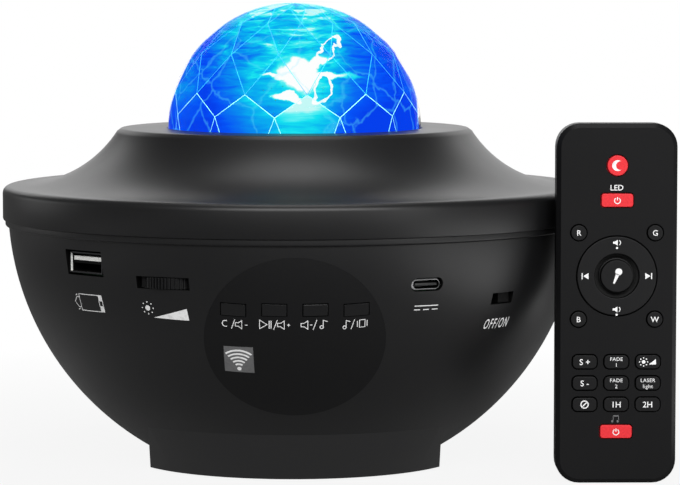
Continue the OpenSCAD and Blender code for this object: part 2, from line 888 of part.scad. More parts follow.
module ir_receiver() {
    color([0.08, 0.06, 0.09])
        on_panel()
            translate([receiver_x, 0, -receiver_drop]) {
                block(receiver_w, receiver_w - 0.5, board_depth - receiver_t, board_depth);
                pin(receiver_w / 3, board_depth - receiver_t - 1.2, board_depth - receiver_t);
            }
}

module port_boards() {
    color([0.05, 0.3, 0.15]) {
        port_board(dimmer_angle, dimmer_board_z(), pot_w + 2, pot_w + 3);
        port_board(usb_a_angle, usb_a_board_z(), usb_a_w + 2, usb_a_len);
        port_board(usb_c_angle, usb_c_board_z(), usb_c_w + 3, usb_c_len + 2.5);
    }
}

// A small board lying on its shelf, its front edge just clear of the bowl's inner wall
module port_board(angle, z, w, d) {
    front = sqrt(pow(bowl_in_r(z), 2) - pow(w / 2, 2)) - 2 * gap;
    rotate([0, 0, angle])
        translate([-w / 2, -front, z])
            cube([w, d, board_t]);
}

// ---- Controls ----

module button_cap(i) {
    x = button_xs[i];
    flange_depth = wall_depth(abs(x) + button_w / 2 + cap_flange_w);
    stem_end = board_depth - tact_h + tact_well - button_travel - 0.1;
    color([0.1, 0.1, 0.105])
        intersection() {
            at_button(x) {
                block(button_w, button_h, -3, flange_depth + cap_flange_t);
                block(button_w + 2 * cap_flange_w, button_h + 2 * cap_flange_w,
                      flange_depth, flange_depth + cap_flange_t);
                pin(stem_r, flange_depth, stem_end);
            }
            bowl_solid(button_proud);
        }
}

module button_1() button_cap(0);
module button_2() button_cap(1);
module button_3() button_cap(2);
module button_4() button_cap(3);

// Places children at the dimmer wheel's axle
module at_dimmer() {
    rotate([0, 0, dimmer_angle])
        translate([0, -dimmer_circle, 0])
            children();
}

module dimmer_wheel() {
    inner_r = dimmer_r - dimmer_rib_h;
    color([0.08, 0.08, 0.08])
        at_dimmer()
            translate([0, 0, dimmer_z - dimmer_t / 2])
                difference() {
                    linear_extrude(height = dimmer_t)
                        polygon([
                            for (k = [0:dimmer_ribs - 1], p = [[0, inner_r], [0.15, dimmer_r],
                                 [0.55, dimmer_r], [0.7, inner_r]])
                                let (a = 360 * (k + p[0]) / dimmer_ribs)
                                [p[1] * cos(a), p[1] * sin(a)]
                        ]);
                    translate([0, 0, -cut])
                        cylinder(r = dimmer_axle_r + running, h = dimmer_t + 2 * cut);
                }
}

module dimmer_pot() {
    pot_z = dimmer_board_z() + board_t;
    color([0.15, 0.25, 0.5])
        at_dimmer() {
            translate([-pot_w / 2, -pot_w / 2 + 1, pot_z])
                cube([pot_w, pot_w, pot_h]);
            translate([0, 0, pot_z])
                cylinder(r = dimmer_axle_r, h = pot_h + gap + dimmer_t);
        }
}

// ---- Sockets and switch ----

module usb_a_socket() {
    front = 0.9;
    back = front + usb_a_len;
    tongue_t = 1.9;
    color([0.8, 0.8, 0.82])
        on_bowl(usb_a_angle, usb_a_z) {
            difference() {
                block(usb_a_w, usb_a_h, front, back);
                block(usb_a_w - 2 * shell_t, usb_a_h - 2 * shell_t, front - cut, back - shell_t);
            }
            translate([0, 0, usb_a_h / 2 - shell_t - tongue_t / 2 - 0.8])
                block(usb_a_w - 2 * shell_t - 1, tongue_t, front + 0.8, back - shell_t - 3);
            block(usb_a_w - 2 * shell_t - slip, usb_a_h - 2 * shell_t - slip,
                  back - shell_t - 3, back - shell_t);
        }
}

module usb_c_socket() {
    front = 0.3;
    back = front + usb_c_len;
    inner_h = usb_c_h - 2 * shell_t;
    color([0.8, 0.8, 0.82])
        on_bowl(usb_c_angle, usb_c_z) {
            difference() {
                slab(front, back)
                    soft_rect(usb_c_w, usb_c_h, usb_c_h / 2 - slip);
                slab(front - cut, back - 1)
                    soft_rect(usb_c_w - 2 * shell_t, inner_h, inner_h / 2 - slip);
            }
            block(usb_c_w - 2.2, 0.7, front + 0.6, back - 1);
        }
}

// Depth at which the switch body clears the curved wall
function switch_depth() =
    bowl_r(switch_z) - sqrt(pow(bowl_in_r(switch_z - switch_h / 2), 2) - pow(switch_w / 2, 2)) + gap;

module power_switch_body() {
    slot_len = knob_w + 2 * knob_travel + gap;
    color([0.12, 0.12, 0.12])
        on_bowl(switch_angle, switch_z)
            difference() {
                block(switch_w, switch_h, switch_depth(), switch_depth() + switch_d);
                block(slot_len, knob_tongue + 2 * gap, switch_depth() - cut, switch_depth() + 2.4);
            }
}

module power_switch_knob() {
    color([0.2, 0.2, 0.2])
        on_bowl(switch_angle, switch_z)
            translate([knob_travel, 0, 0]) {
                block(knob_w, knob_h, 1.2, switch_depth() - gap);
                block(knob_w - gap, knob_tongue, switch_depth() - gap, switch_depth() + 2);
            }
}

// ---- Light works ----

module lamp_deck() {
    lens_seat_r = lamp_bore_r - 1.2;
    clamp_h = flange_z - deck_top;
    color([0.85, 0.85, 0.85])
        difference() {
            union() {
                washer_at(deck_z, deck_r, lamp_bore_r, deck_t);
                washer_at(deck_top - slip, collar_r, lamp_bore_r, collar_h + slip);
                washer_at(deck_top - slip, flange_r - 0.2, flange_r - 2.4, clamp_h + slip);
                washer_at(lamp_z, lamp_bore_r + lamp_wall, lens_seat_r, lamp_tube_h / 2);
                washer_at(lamp_z, lamp_bore_r + lamp_wall, lamp_bore_r, lamp_tube_h + slip);
                around(3, lamp_screw_circle(), 30)
                    translate([0, 0, lamp_z])
                        cylinder(r = screw_r + 1, h = lamp_tube_h + slip);
                rotate([0, 0, grating_angle])
                    translate([grating_circle, 0, 0]) {
                        washer_at(deck_top - slip, grating_collar_r, 3.2, gear_w + 1.2);
                        washer_at(deck_z - 12, laser_r + 1.8, laser_r + slip, 12 + slip);
                    }
            }
            around(4, post_circle, 45)
                translate([0, 0, deck_z - cut])
                    cylinder(r = post_r + gap, h = deck_t + 2 * cut);
            around(4, deck_screw_circle)
                translate([0, 0, deck_z - cut])
                    cylinder(r = screw_r + slip, h = deck_t + 2 * cut);
            around(3, lamp_screw_circle(), 30)
                translate([0, 0, lamp_z - cut])
                    cylinder(r = screw_r + slip, h = screw_grip + cut);
            rotate([0, 0, motor_angle])
                translate([motor_circle, 0, deck_z - cut])
                    cylinder(r = 2 * shaft_r, h = deck_t + 2 * cut);
            rotate([0, 0, grating_angle])
                translate([grating_circle, 0, deck_z - cut])
                    cylinder(r = 3.2, h = deck_t + 2 * cut);
        }
}

module led_board() {
    chip = 3.2;
    color([0.9, 0.9, 0.9])
        difference() {
            translate([0, 0, led_z])
                cylinder(r = led_board_r, h = board_t);
            around(3, lamp_screw_circle(), 30)
                translate([0, 0, led_z - cut])
                    cylinder(r = screw_r + slip, h = board_t + 2 * cut);
            rotate([0, 0, motor_angle])
                translate([motor_circle, 0, led_z - cut])
                    cylinder(r = motor_r + 2 * gap, h = board_t + 2 * cut);
        }
    color([1, 0.95, 0.7])
        around(4, 4, 45)
            translate([-chip / 2, -chip / 2, lamp_z])
                cube([chip, chip, 0.8]);
}

module condenser_lens() {
    lens_r = lamp_bore_r - slip;
    crown = 4;
    crown_r = (pow(lens_r, 2) + pow(crown, 2)) / (2 * crown);
    edge_t = 1.6;
    seat_z = lamp_z + lamp_tube_h / 2;
    color([0.8, 0.9, 1, 0.6])
        intersection() {
            translate([0, 0, seat_z])
                cylinder(r = lens_r, h = edge_t + crown);
            translate([0, 0, seat_z + edge_t + crown - crown_r])
                sphere(r = crown_r);
        }
}

module gear_motor() {
    boss_h = 1.5;
    color([0.75, 0.75, 0.77])
        rotate([0, 0, motor_angle])
            translate([motor_circle, 0, deck_z - motor_len])
                difference() {
                    union() {
                        cylinder(r = motor_r, h = motor_len - boss_h);
                        translate([0, 0, motor_len - boss_h])
                            cylinder(r = motor_r - 1, h = boss_h);
                        translate([-2, -motor_r - 3.5, motor_len - boss_h])
                            cube([4, 2 * motor_r + 7, boss_h]);
                    }
                    translate([0, 0, motor_len - 6])
                        cylinder(r = shaft_r + running, h = 6 + cut);
                }
}

module motor_pinion() {
    color([0.95, 0.95, 0.9])
        rotate([0, 0, motor_angle])
            translate([motor_circle, 0, 0]) {
                translate([0, 0, gear_z + gap])
                    rotate([0, 0, -motor_angle])
                        gear(pinion_teeth, mesh_turn(motor_angle, pinion_teeth), gear_w, 0);
                translate([0, 0, deck_z - 5])
                    cylinder(r = shaft_r, h = gear_z + gap - deck_z + 5 + gear_w / 2);
            }
}

module ripple_disc() {
    disc_z = gear_z + collar_h;
    color([0.7, 0.85, 1, 0.7]) {
        translate([0, 0, gear_z])
            gear(ring_teeth, 0, gear_w, collar_r + gap);
        washer_at(gear_z, disc_r, collar_r + running, collar_h + slip);
        translate([0, 0, disc_z])
            cylinder(r = disc_r, h = disc_t);
    }
}

module laser_module() {
    color([0.8, 0.65, 0.3])
        rotate([0, 0, grating_angle])
            translate([grating_circle, 0, deck_z - laser_len - 0.5]) {
                cylinder(r = laser_r, h = laser_len);
                translate([0, 0, -2])
                    cylinder(r = laser_r - 1.5, h = 2.5);
            }
}

module grating_wheel() {
    color([0.9, 0.9, 0.95])
        rotate([0, 0, grating_angle])
            translate([grating_circle, 0, 0]) {
                translate([0, 0, gear_z])
                    rotate([0, 0, -grating_angle])
                        gear(grating_teeth, mesh_turn(grating_angle, grating_teeth), gear_w,
                             grating_collar_r + gap);
                washer_at(gear_z, grating_collar_r + 0.6, grating_collar_r + running, gear_w + 1.5);
                translate([0, 0, gear_z + gear_w + 1.3])
                    cylinder(r = grating_collar_r + 0.6, h = 0.8);
            }
}

// ---- Remote control ----

// Places children in the remote's frame: X across, Y into the remote, Z up
module in_remote() {
    translate([remote_x, -remote_front, 0])
        children();
}

// Outline of the remote seen from the front, made smaller by inset
module remote_outline(inset) {
    translate([0, remote_h / 2])
        soft_rect(remote_w - 2 * inset, remote_h - 2 * inset, remote_corner - inset);
}

// Places a key's shape at its place on the face
module at_key(x, z) {
    translate([x, 0, z])
        children();
}

// Outline of the space for the battery door
module door_outline(extra) {
    translate([0, (door_low + door_high) / 2])
        square([door_w + 2 * extra, door_high - door_low + 2 * extra], center = true);
}

function small_key_place(i) =
    [(i % 3 - 1) * small_key_pitch, small_key_z + (2 - floor(i / 3)) * small_key_rise];

// The cuts for all the keys, each larger than its key by the gap
module key_cuts(d0, d1, extra) {
    at_key(0, red_key_z)
        pin(red_key_r + extra, d0, d1);
    for (z = [light_key_z, music_key_z])
        at_key(0, z)
            slab(d0, d1)
                soft_rect(power_key_w + 2 * extra, power_key_h + 2 * extra, 0.8 + extra);
    for (x = [-1, 1], z = [-1, 1])
        at_key(x * colour_key_x, pad_z + z * colour_key_step)
            pin(colour_key_r + extra, d0, d1);
    at_key(0, pad_z)
        pin(pad_r + extra, d0, d1);
    for (i = [0:8])
        at_key(small_key_place(i)[0], small_key_place(i)[1])
            slab(d0, d1)
                soft_rect(small_key_w + 2 * extra, small_key_h + 2 * extra, 1.4 + extra);
}

module remote_front_shell() {
    rib_w = 1.2;
    color([0.14, 0.14, 0.15])
        in_remote()
            difference() {
                hull() {
                    slab(0, 0.01)
                        remote_outline(face_bevel, $fn = 32);
                    slab(face_bevel, split_depth)
                        remote_outline(0, $fn = 32);
                }
                slab(remote_wall, mat_depth)
                    remote_outline(remote_wall + rib_w);
                slab(mat_depth - slip, split_depth + cut)
                    remote_outline(remote_wall);
                key_cuts(-cut, remote_wall + cut, key_gap);
            }
}

module remote_back_shell() {
    color([0.14, 0.14, 0.15])
        in_remote()
            difference() {
                union() {
                    difference() {
                        hull() {
                            slab(split_depth, split_depth + 0.01)
                                remote_outline(0, $fn = 32);
                            slab(remote_t - 0.01, remote_t)
                                remote_outline(back_bevel, $fn = 32);
                        }
                        hull() {
                            slab(split_depth - cut, split_depth)
                                remote_outline(remote_wall, $fn = 32);
                            slab(remote_t - remote_wall, remote_t - remote_wall + 0.01)
                                remote_outline(back_bevel + remote_wall / 2, $fn = 32);
                        }
                    }
                    for (z = [door_high + 6, remote_h - 8])
                        translate([-remote_w / 2 + 6, remote_board_back, z])
                            cube([remote_w - 12, remote_t - remote_board_back - remote_wall / 2, 1.2]);
                    translate([-cell_r, remote_board_back, 3])
                        cube([2 * cell_r, remote_t - remote_board_back - remote_wall / 2, 1.2]);
                }
                slab(door_depth - door_gap, remote_t + cut)
                    door_outline(door_gap);
                door_pins(door_pin_r + running, door_w / 2 + 1.2);
            }
}

module battery_door() {
    color([0.14, 0.14, 0.15])
        in_remote() {
            slab(door_depth, remote_t)
                door_outline(0);
            door_pins(door_pin_r, door_w / 2 + 1);
        }
}

// The two pins that the battery door turns on, reaching out to x
module door_pins(r, x) {
    for (side = [-1, 1])
        translate([side * (x + door_w / 2 - 0.5) / 2, door_depth + door_t / 2, door_high - door_t / 2])
            rotate([0, 90, 0])
                cylinder(r = r, h = x - door_w / 2 + 0.5, center = true);
}

module remote_board() {
    color([0.05, 0.3, 0.15])
        in_remote() {
            slab(remote_board_depth, remote_board_back)
                remote_outline(remote_wall + 0.3);
            translate([0, remote_board_back + emitter_r - 2 * slip, remote_h - remote_wall - 3.5])
                cylinder(r = emitter_r, h = 3);
        }
}

module key_mat() {
    color([0.3, 0.3, 0.32])
        in_remote()
            slab(mat_depth, remote_board_depth)
                remote_outline(remote_wall + 0.3);
}

module battery_cells() {
    color([0.2, 0.5, 0.3])
        in_remote()
            for (side = [-1, 1])
                translate([side * cell_x, cell_depth, cell_z + (side > 0 ? cell_len : 0)])
                    mirror([0, 0, side > 0 ? 1 : 0]) {
                        cylinder(r = cell_r, h = cell_len - 1);
                        cylinder(r = 1.9, h = cell_len);
                    }
}

module battery_contacts() {
    plate = 0.4;
    color([0.8, 0.8, 0.82])
        in_remote()
            for (side = [-1, 1], z = [cell_z - plate - rest_gap / 2, cell_z + cell_len + rest_gap / 2])
                translate([side * cell_x - 3, remote_board_back + slip, z])
                    cube([6, 2 * cell_r - 1, plate]);
}

// A key: its cap through the face, and a flange behind it
module round_key(x, z, r, tint) {
    color(tint)
        in_remote()
            at_key(x, z) {
                pin(r, -key_proud, key_seat);
                pin(r + key_flange_w, key_seat, key_seat + key_flange);
            }
}

module square_key(x, z, w, h, corner, tint) {
    color(tint)
        in_remote()
            at_key(x, z) {
                slab(-key_proud, key_seat)
                    soft_rect(w, h, corner);
                slab(key_seat, key_seat + key_flange)
                    soft_rect(w + 2 * key_flange_w, h + 2 * key_flange_w, corner);
            }
}

module small_key(i)
    square_key(small_key_place(i)[0], small_key_place(i)[1], small_key_w, small_key_h, 1.4,
               [0.16, 0.16, 0.17]);

module key_night() round_key(0, red_key_z, red_key_r, [0.9, 0.2, 0.23]);
module key_light() square_key(0, light_key_z, power_key_w, power_key_h, 0.8, [0.9, 0.2, 0.23]);
module key_music() square_key(0, music_key_z, power_key_w, power_key_h, 0.8, [0.9, 0.2, 0.23]);
module key_red() round_key(-colour_key_x, pad_z + colour_key_step, colour_key_r, [0.16, 0.16, 0.17]);
module key_green() round_key(colour_key_x, pad_z + colour_key_step, colour_key_r, [0.16, 0.16, 0.17]);
module key_blue() round_key(-colour_key_x, pad_z - colour_key_step, colour_key_r, [0.16, 0.16, 0.17]);
module key_white() round_key(colour_key_x, pad_z - colour_key_step, colour_key_r, [0.16, 0.16, 0.17]);
module key_small_1() small_key(0);
module key_small_2() small_key(1);
module key_small_3() small_key(2);
module key_small_4() small_key(3);
module key_small_5() small_key(4);
module key_small_6() small_key(5);
module key_small_7() small_key(6);
module key_small_8() small_key(7);
module key_small_9() small_key(8);

module key_centre() round_key(0, pad_z, centre_key_r, [0.16, 0.16, 0.17]);

module nav_ring() {
    color([0.16, 0.16, 0.17])
        in_remote()
            at_key(0, pad_z)
                difference() {
                    pin(pad_r, -key_proud / 2, pad_back);
                    pin(pad_in_r, -key_proud - cut, pad_back + cut);
                }
}

// The rocker under the D-pad ring: the ring tips on its two nubs
module nav_rocker() {
    plate_depth = pad_back + slip + rocker_t;
    color([0.3, 0.3, 0.32])
        in_remote()
            at_key(0, pad_z) {
                difference() {
                    pin(rocker_r, plate_depth, plate_depth + rocker_t);
                    pin(centre_key_r + key_flange_w + 2 * key_gap, plate_depth - cut,
                        plate_depth + rocker_t + cut);
                }
                for (side = [-1, 1])
                    translate([side * (rocker_r - 2 * nub_r), 0, 0])
                        pin(nub_r, pad_back + slip, plate_depth);
            }
}

bowl_housing();
control_label();
top_cover();
dome_lens();
pedestal();
anti_slip_ring();
housing_screws();
speaker_frame();
speaker_magnet();
speaker_cone();
main_board();
board_components();
button_board();
tact_switches();
ir_receiver();
button_1();
button_2();
button_3();
button_4();
dimmer_wheel();
dimmer_pot();
usb_a_socket();
usb_c_socket();
port_boards();
power_switch_body();
power_switch_knob();
lamp_deck();
led_board();
condenser_lens();
gear_motor();
motor_pinion();
ripple_disc();
laser_module();
grating_wheel();
remote_front_shell();
remote_back_shell();
battery_door();
remote_board();
key_mat();
battery_cells();
battery_contacts();
key_night();
key_light();
key_music();
key_red();
key_green();
key_blue();
key_white();
nav_ring();
nav_rocker();
key_centre();
key_small_1();
key_small_2();
key_small_3();
key_small_4();
key_small_5();
key_small_6();
key_small_7();
key_small_8();
key_small_9();
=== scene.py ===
"""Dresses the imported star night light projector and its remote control.

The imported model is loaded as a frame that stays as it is. Every outer piece is then modelled
in its place, in metres, and every inner piece gets the finish of the real one.
"""

from __future__ import annotations

import json
import logging
import math
from dataclasses import dataclass, field
from enum import Enum
from typing import Any, Iterable, Sequence

import bpy
from mathutils import Matrix, Vector

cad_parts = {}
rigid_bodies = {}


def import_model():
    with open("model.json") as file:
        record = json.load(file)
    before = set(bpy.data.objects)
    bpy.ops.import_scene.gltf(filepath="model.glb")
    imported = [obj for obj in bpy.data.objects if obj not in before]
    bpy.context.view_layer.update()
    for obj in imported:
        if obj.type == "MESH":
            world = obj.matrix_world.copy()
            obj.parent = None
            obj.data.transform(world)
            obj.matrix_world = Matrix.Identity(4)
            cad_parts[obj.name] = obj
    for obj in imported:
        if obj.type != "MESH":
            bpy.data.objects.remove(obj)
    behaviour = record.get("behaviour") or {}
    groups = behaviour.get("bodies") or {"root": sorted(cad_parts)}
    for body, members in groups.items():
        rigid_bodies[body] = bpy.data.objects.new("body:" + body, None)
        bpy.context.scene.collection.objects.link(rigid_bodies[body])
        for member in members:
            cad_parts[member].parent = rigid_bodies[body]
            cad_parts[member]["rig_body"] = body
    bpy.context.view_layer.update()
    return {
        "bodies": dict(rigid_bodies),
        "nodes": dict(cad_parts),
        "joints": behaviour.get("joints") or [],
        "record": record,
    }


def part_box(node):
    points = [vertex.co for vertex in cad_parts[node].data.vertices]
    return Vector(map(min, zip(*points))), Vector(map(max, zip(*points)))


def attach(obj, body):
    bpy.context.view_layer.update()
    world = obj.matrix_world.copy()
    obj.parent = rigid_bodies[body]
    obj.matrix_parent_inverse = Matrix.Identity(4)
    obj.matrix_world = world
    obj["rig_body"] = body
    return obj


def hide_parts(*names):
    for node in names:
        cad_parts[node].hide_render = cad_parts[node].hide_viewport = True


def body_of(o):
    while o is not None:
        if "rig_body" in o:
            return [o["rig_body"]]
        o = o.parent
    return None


LOG = logging.getLogger("night_light")
MM = 0.001
WELD_M = 1e-7
Point = tuple[float, float]
Colour = tuple[float, float, float, float]
Obj = bpy.types.Object
Tree = bpy.types.NodeTree
Node = bpy.types.Node
Socket = bpy.types.NodeSocket


class Side(Enum):
    """The two sides of the part, along X."""

    LEFT = -1
    RIGHT = 1


class Carrier(Enum):
    """The bodies that the outer pieces ride on."""

    PROJECTOR = "projector"
    REMOTE = "remote"


class Spot(Enum):
    """Places on the bowl: degrees from the front towards +X, and height in millimetres."""

    USB_A = (-44.9, 61.7)
    WHEEL = (-26.2, 57.5)
    BUTTONS = (0.0, 50.9)
    LABEL = (0.0, 41.2)
    RECEIVER = (0.0, 36.2)
    USB_C = (26.2, 57.1)
    SWITCH = (45.8, 51.75)
    PHONE_SIGN = (-45.2, 50.6)
    DIMMER_SIGN = (-27.2, 49.3)
    INLET_SIGN = (26.6, 50.7)
    POWER_SIGN = (45.9, 44.7)


# ---- Node trees ----


def linear(code: str) -> Colour:
    """Turns an sRGB hex colour into linear light.

    Args:
        code: Six hex digits with a leading hash.

    Returns:
        Red, green, blue and an alpha of one.
    """
    parts = [int(code[i:i + 2], 16) / 255 for i in (1, 3, 5)]
    light = [c / 12.92 if c <= 0.04045 else ((c + 0.055) / 1.055) ** 2.4 for c in parts]
    return (light[0], light[1], light[2], 1.0)


def grey(value: float) -> Colour:
    """Returns a linear grey of a value."""
    return (value, value, value, 1.0)


def toned(tint: Colour, factor: float) -> Colour:
    """Returns a linear colour made lighter or darker by a factor."""
    return (tint[0] * factor, tint[1] * factor, tint[2] * factor, 1.0)


def wire(tree: Tree, node: Node, settings: dict[Any, Any] | None = None,
         links: dict[Any, Socket] | None = None) -> Node:
    """Gives a node its settings and incoming links.

    Args:
        tree: The node tree that holds it.
        node: The node.
        settings: Values by property name in lower case, or by socket name or number.
        links: Sockets that feed it, by its own socket name or number.

    Returns:
        The same node.
    """
    for key, value in (settings or {}).items():
        if isinstance(key, str) and key[0].islower():
            setattr(node, key, value)
        else:
            node.inputs[key].default_value = value
    for key, socket in (links or {}).items():
        tree.links.new(socket, node.inputs[key])
    return node


def add_node(tree: Tree, kind: str, settings: dict[Any, Any] | None = None,
             links: dict[Any, Socket] | None = None) -> Node:
    """Adds one node of Blender's own kind, with its settings and incoming links as in wire."""
    return wire(tree, tree.nodes.new(kind), settings, links)


def maths(tree: Tree, operation: str, *terms: float | Socket) -> Socket:
    """Adds a sum of numbers and sockets.

    Args:
        tree: The node tree that takes it.
        operation: Blender's name of what it works out.
        terms: Its numbers and sockets, in their order.

    Returns:
        The result.
    """
    numbers = {i: term for i, term in enumerate(terms) if not isinstance(term, Socket)}
    sockets = {i: term for i, term in enumerate(terms) if isinstance(term, Socket)}
    return add_node(tree, "ShaderNodeMath", {"operation": operation} | numbers, sockets).outputs[0]


def ranged(tree: Tree, value: Socket, source: Point = (0.0, 1.0),
           result: Point = (0.0, 1.0)) -> Socket:
    """Adds a map from one range to another, held at its ends.

    Args:
        tree: The node tree that takes it.
        value: What is mapped.
        source: Two values of it.
        result: What they become.

    Returns:
        The mapped value.
    """
    return add_node(tree, "ShaderNodeMapRange",
                    {1: source[0], 2: source[1], 3: result[0], 4: result[1]},
                    {0: value}).outputs[0]


def ramp(tree: Tree, value: Socket, colours: Sequence[tuple[float, Colour]]) -> Socket:
    """Adds a colour ramp.

    Args:
        tree: The node tree that takes it.
        value: What picks the colour.
        colours: Position and linear colour of each stop, in rising order.

    Returns:
        The colour.
    """
    node = add_node(tree, "ShaderNodeValToRGB", links={0: value})
    marks = node.color_ramp.elements
    while len(marks) < len(colours):
        marks.new(0.5)
    for mark, (place, colour) in zip(marks, colours):
        mark.position = place
        mark.color = colour
    return node.outputs["Color"]


def noise(tree: Tree, place: Socket, size_mm: float, output: str = "Fac",
          **settings: float) -> Socket:
    """Adds a noise with lumps of about a size and returns one of its outputs."""
    return add_node(tree, "ShaderNodeTexNoise", {"Scale": 1 / (size_mm * MM)} | settings,
                    {"Vector": place}).outputs[output]


def cell_edges(tree: Tree, place: Socket, size_mm: float) -> Socket:
    """Adds a pattern of cells of a size and returns how far each point is from their edges."""
    settings = {"feature": "DISTANCE_TO_EDGE", "Scale": 1 / (size_mm * MM)}
    return add_node(tree, "ShaderNodeTexVoronoi", settings, {"Vector": place}).outputs["Distance"]


def bump(tree: Tree, height: Socket, strength: float, depth_mm: float) -> Socket:
    """Adds relief of a strength and depth and returns its normal."""
    return add_node(tree, "ShaderNodeBump", {"Strength": strength, "Distance": depth_mm * MM},
                    {"Height": height}).outputs["Normal"]


def new_material(name: str) -> tuple[bpy.types.Material, Tree, Node, Socket]:
    """Starts a material that has only its main shader.

    Args:
        name: The material's name.

    Returns:
        The material, its node tree, its Principled shader and the object's coordinates.
    """
    material = bpy.data.materials.new(name)
    material.use_nodes = True
    tree = material.node_tree
    place = add_node(tree, "ShaderNodeTexCoord").outputs["Object"]
    return material, tree, tree.nodes["Principled BSDF"], place


# ---- Finishes ----


@dataclass(frozen=True)
class Finish:
    """A surface finish, which makes its own material."""

    name: str

    def material(self) -> bpy.types.Material:
        """Makes the material, in its own way for each kind of finish."""
        raise NotImplementedError


@dataclass(frozen=True)
class MouldedPlastic(Finish):
    """A thermoplastic moulded in a spark-eroded tool: a dull sheen over a very fine pebble grain."""

    colour: str
    roughness: float
    grain_mm: float = 0.7
    relief: float = 0.12
    ior: float = 1.5
    gloss: float = 0.5
    relief_mm: float = 0.03
    cloud_mm: float = 26.0
    # How far the roughness wanders over the clouds, and the colour over the grain
    wander: Point = (-0.03, 0.04)
    mottle: Point = (0.86, 1.12)

    def material(self) -> bpy.types.Material:
        """Makes the material.

        Returns:
            A plastic whose sheen wanders a little, as a moulding's does.
        """
        material, tree, shader, place = new_material(self.name)
        grain = noise(tree, place, self.grain_mm, Detail=2.0, Roughness=0.6)
        clouds = noise(tree, place, self.cloud_mm, Detail=3.0)
        sheen = ranged(tree, clouds, result=(self.roughness + self.wander[0],
                                             self.roughness + self.wander[1]))
        tint = linear(self.colour)
        shade = ramp(tree, grain, [(0.3, toned(tint, self.mottle[0])),
                                   (0.7, toned(tint, self.mottle[1]))])
        wire(tree, shader, {"IOR": self.ior, "Specular IOR Level": self.gloss},
             {"Base Color": shade, "Roughness": sheen,
              "Normal": bump(tree, grain, self.relief, self.relief_mm)})
        return material


@dataclass(frozen=True)
class ScreenInk(Finish):
    """Pad-printed or screen-printed ink: a matt, slightly uneven film of colour."""

    colour: str
    mottle_mm: float = 0.9
    thin: float = 0.8
    roughness: float = 0.62

    def material(self) -> bpy.types.Material:
        """Makes the material.

        Returns:
            An ink with faint mottling where the film is thinner.
        """
        material, tree, shader, place = new_material(self.name)
        tint = linear(self.colour)
        shade = ramp(tree, noise(tree, place, self.mottle_mm, Detail=2.0),
                     [(0.25, toned(tint, self.thin)), (0.55, tint)])
        wire(tree, shader, {"Roughness": self.roughness}, {"Base Color": shade})
        return material


@dataclass(frozen=True)
class Metal(Finish):
    """Sheet or turned metal with the fine lines that rolling or turning leaves."""

    colour: str
    roughness: float
    line_mm: float = 0.25
    # Height of a line against its length
    stretch: float = 0.08
    wander: float = 0.07
    # Strength and depth of the lines' relief
    relief: Point = (0.1, 0.01)

    def material(self) -> bpy.types.Material:
        """Makes the material.

        Returns:
            A metal whose roughness follows stretched lines.
        """
        material, tree, shader, place = new_material(self.name)
        turned = add_node(tree, "ShaderNodeMapping", {"Scale": (1.0, 1.0, self.stretch)},
                          {"Vector": place}).outputs["Vector"]
        lines = noise(tree, turned, self.line_mm, Detail=1.0)
        wear = ranged(tree, lines, result=(self.roughness - self.wander,
                                           self.roughness + self.wander))
        wire(tree, shader, {"Base Color": linear(self.colour), "Metallic": 1.0},
             {"Roughness": wear, "Normal": bump(tree, lines, *self.relief)})
        return material


@dataclass(frozen=True)
class SoftRubber(Finish):
    """Silicone or thermoplastic rubber: matt, with dust held in a fine texture."""

    colour: str
    dust_mm: float = 1.1
    dusty: float = 1.8
    roughness: float = 0.85
    relief: Point = (0.3, 0.05)

    def material(self) -> bpy.types.Material:
        """Makes the material.

        Returns:
            A rubber with a dry, slightly dusty face.
        """
        material, tree, shader, place = new_material(self.name)
        dust = noise(tree, place, self.dust_mm, Detail=5.0)
        tint = linear(self.colour)
        shade = ramp(tree, dust, [(0.35, tint), (0.8, toned(tint, self.dusty))])
        wire(tree, shader, {"Roughness": self.roughness},
             {"Base Color": shade, "Normal": bump(tree, dust, *self.relief)})
        return material


@dataclass(frozen=True)
class CircuitBoard(Finish):
    """Glass-epoxy board under a glossy solder mask, with copper tracks showing through."""

    mask: str
    track: str
    cell_mm: float = 2.7
    # Shares of a cell at which the track ends and the mask starts
    track_ends: float = 0.1
    mask_starts: float = 0.14
    roughness: float = 0.28

    def material(self) -> bpy.types.Material:
        """Makes the material.

        Returns:
            A board with a cellular track pattern under its mask.
        """
        material, tree, shader, place = new_material(self.name)
        shade = ramp(tree, cell_edges(tree, place, self.cell_mm),
                     [(self.track_ends, linear(self.track)),
                      (self.mask_starts, linear(self.mask))])
        wire(tree, shader, {"Roughness": self.roughness}, {"Base Color": shade})
        return material


@dataclass(frozen=True)
class ClearPlastic(Finish):
    """Polished PMMA or polycarbonate: clear, with a faint ripple from moulding."""

    tint: str
    ripple_mm: float
    ior: float = 1.49
    roughness: float = 0.02
    relief: Point = (0.08, 0.2)

    def material(self) -> bpy.types.Material:
        """Makes the material.

        Returns:
            A clear plastic with a wavy surface.
        """
        material, tree, shader, place = new_material(self.name)
        waves = noise(tree, place, self.ripple_mm, Detail=1.0)
        wire(tree, shader, {"Base Color": linear(self.tint), "Transmission Weight": 1.0,
                            "Roughness": self.roughness, "IOR": self.ior},
             {"Normal": bump(tree, waves, *self.relief)})
        return material


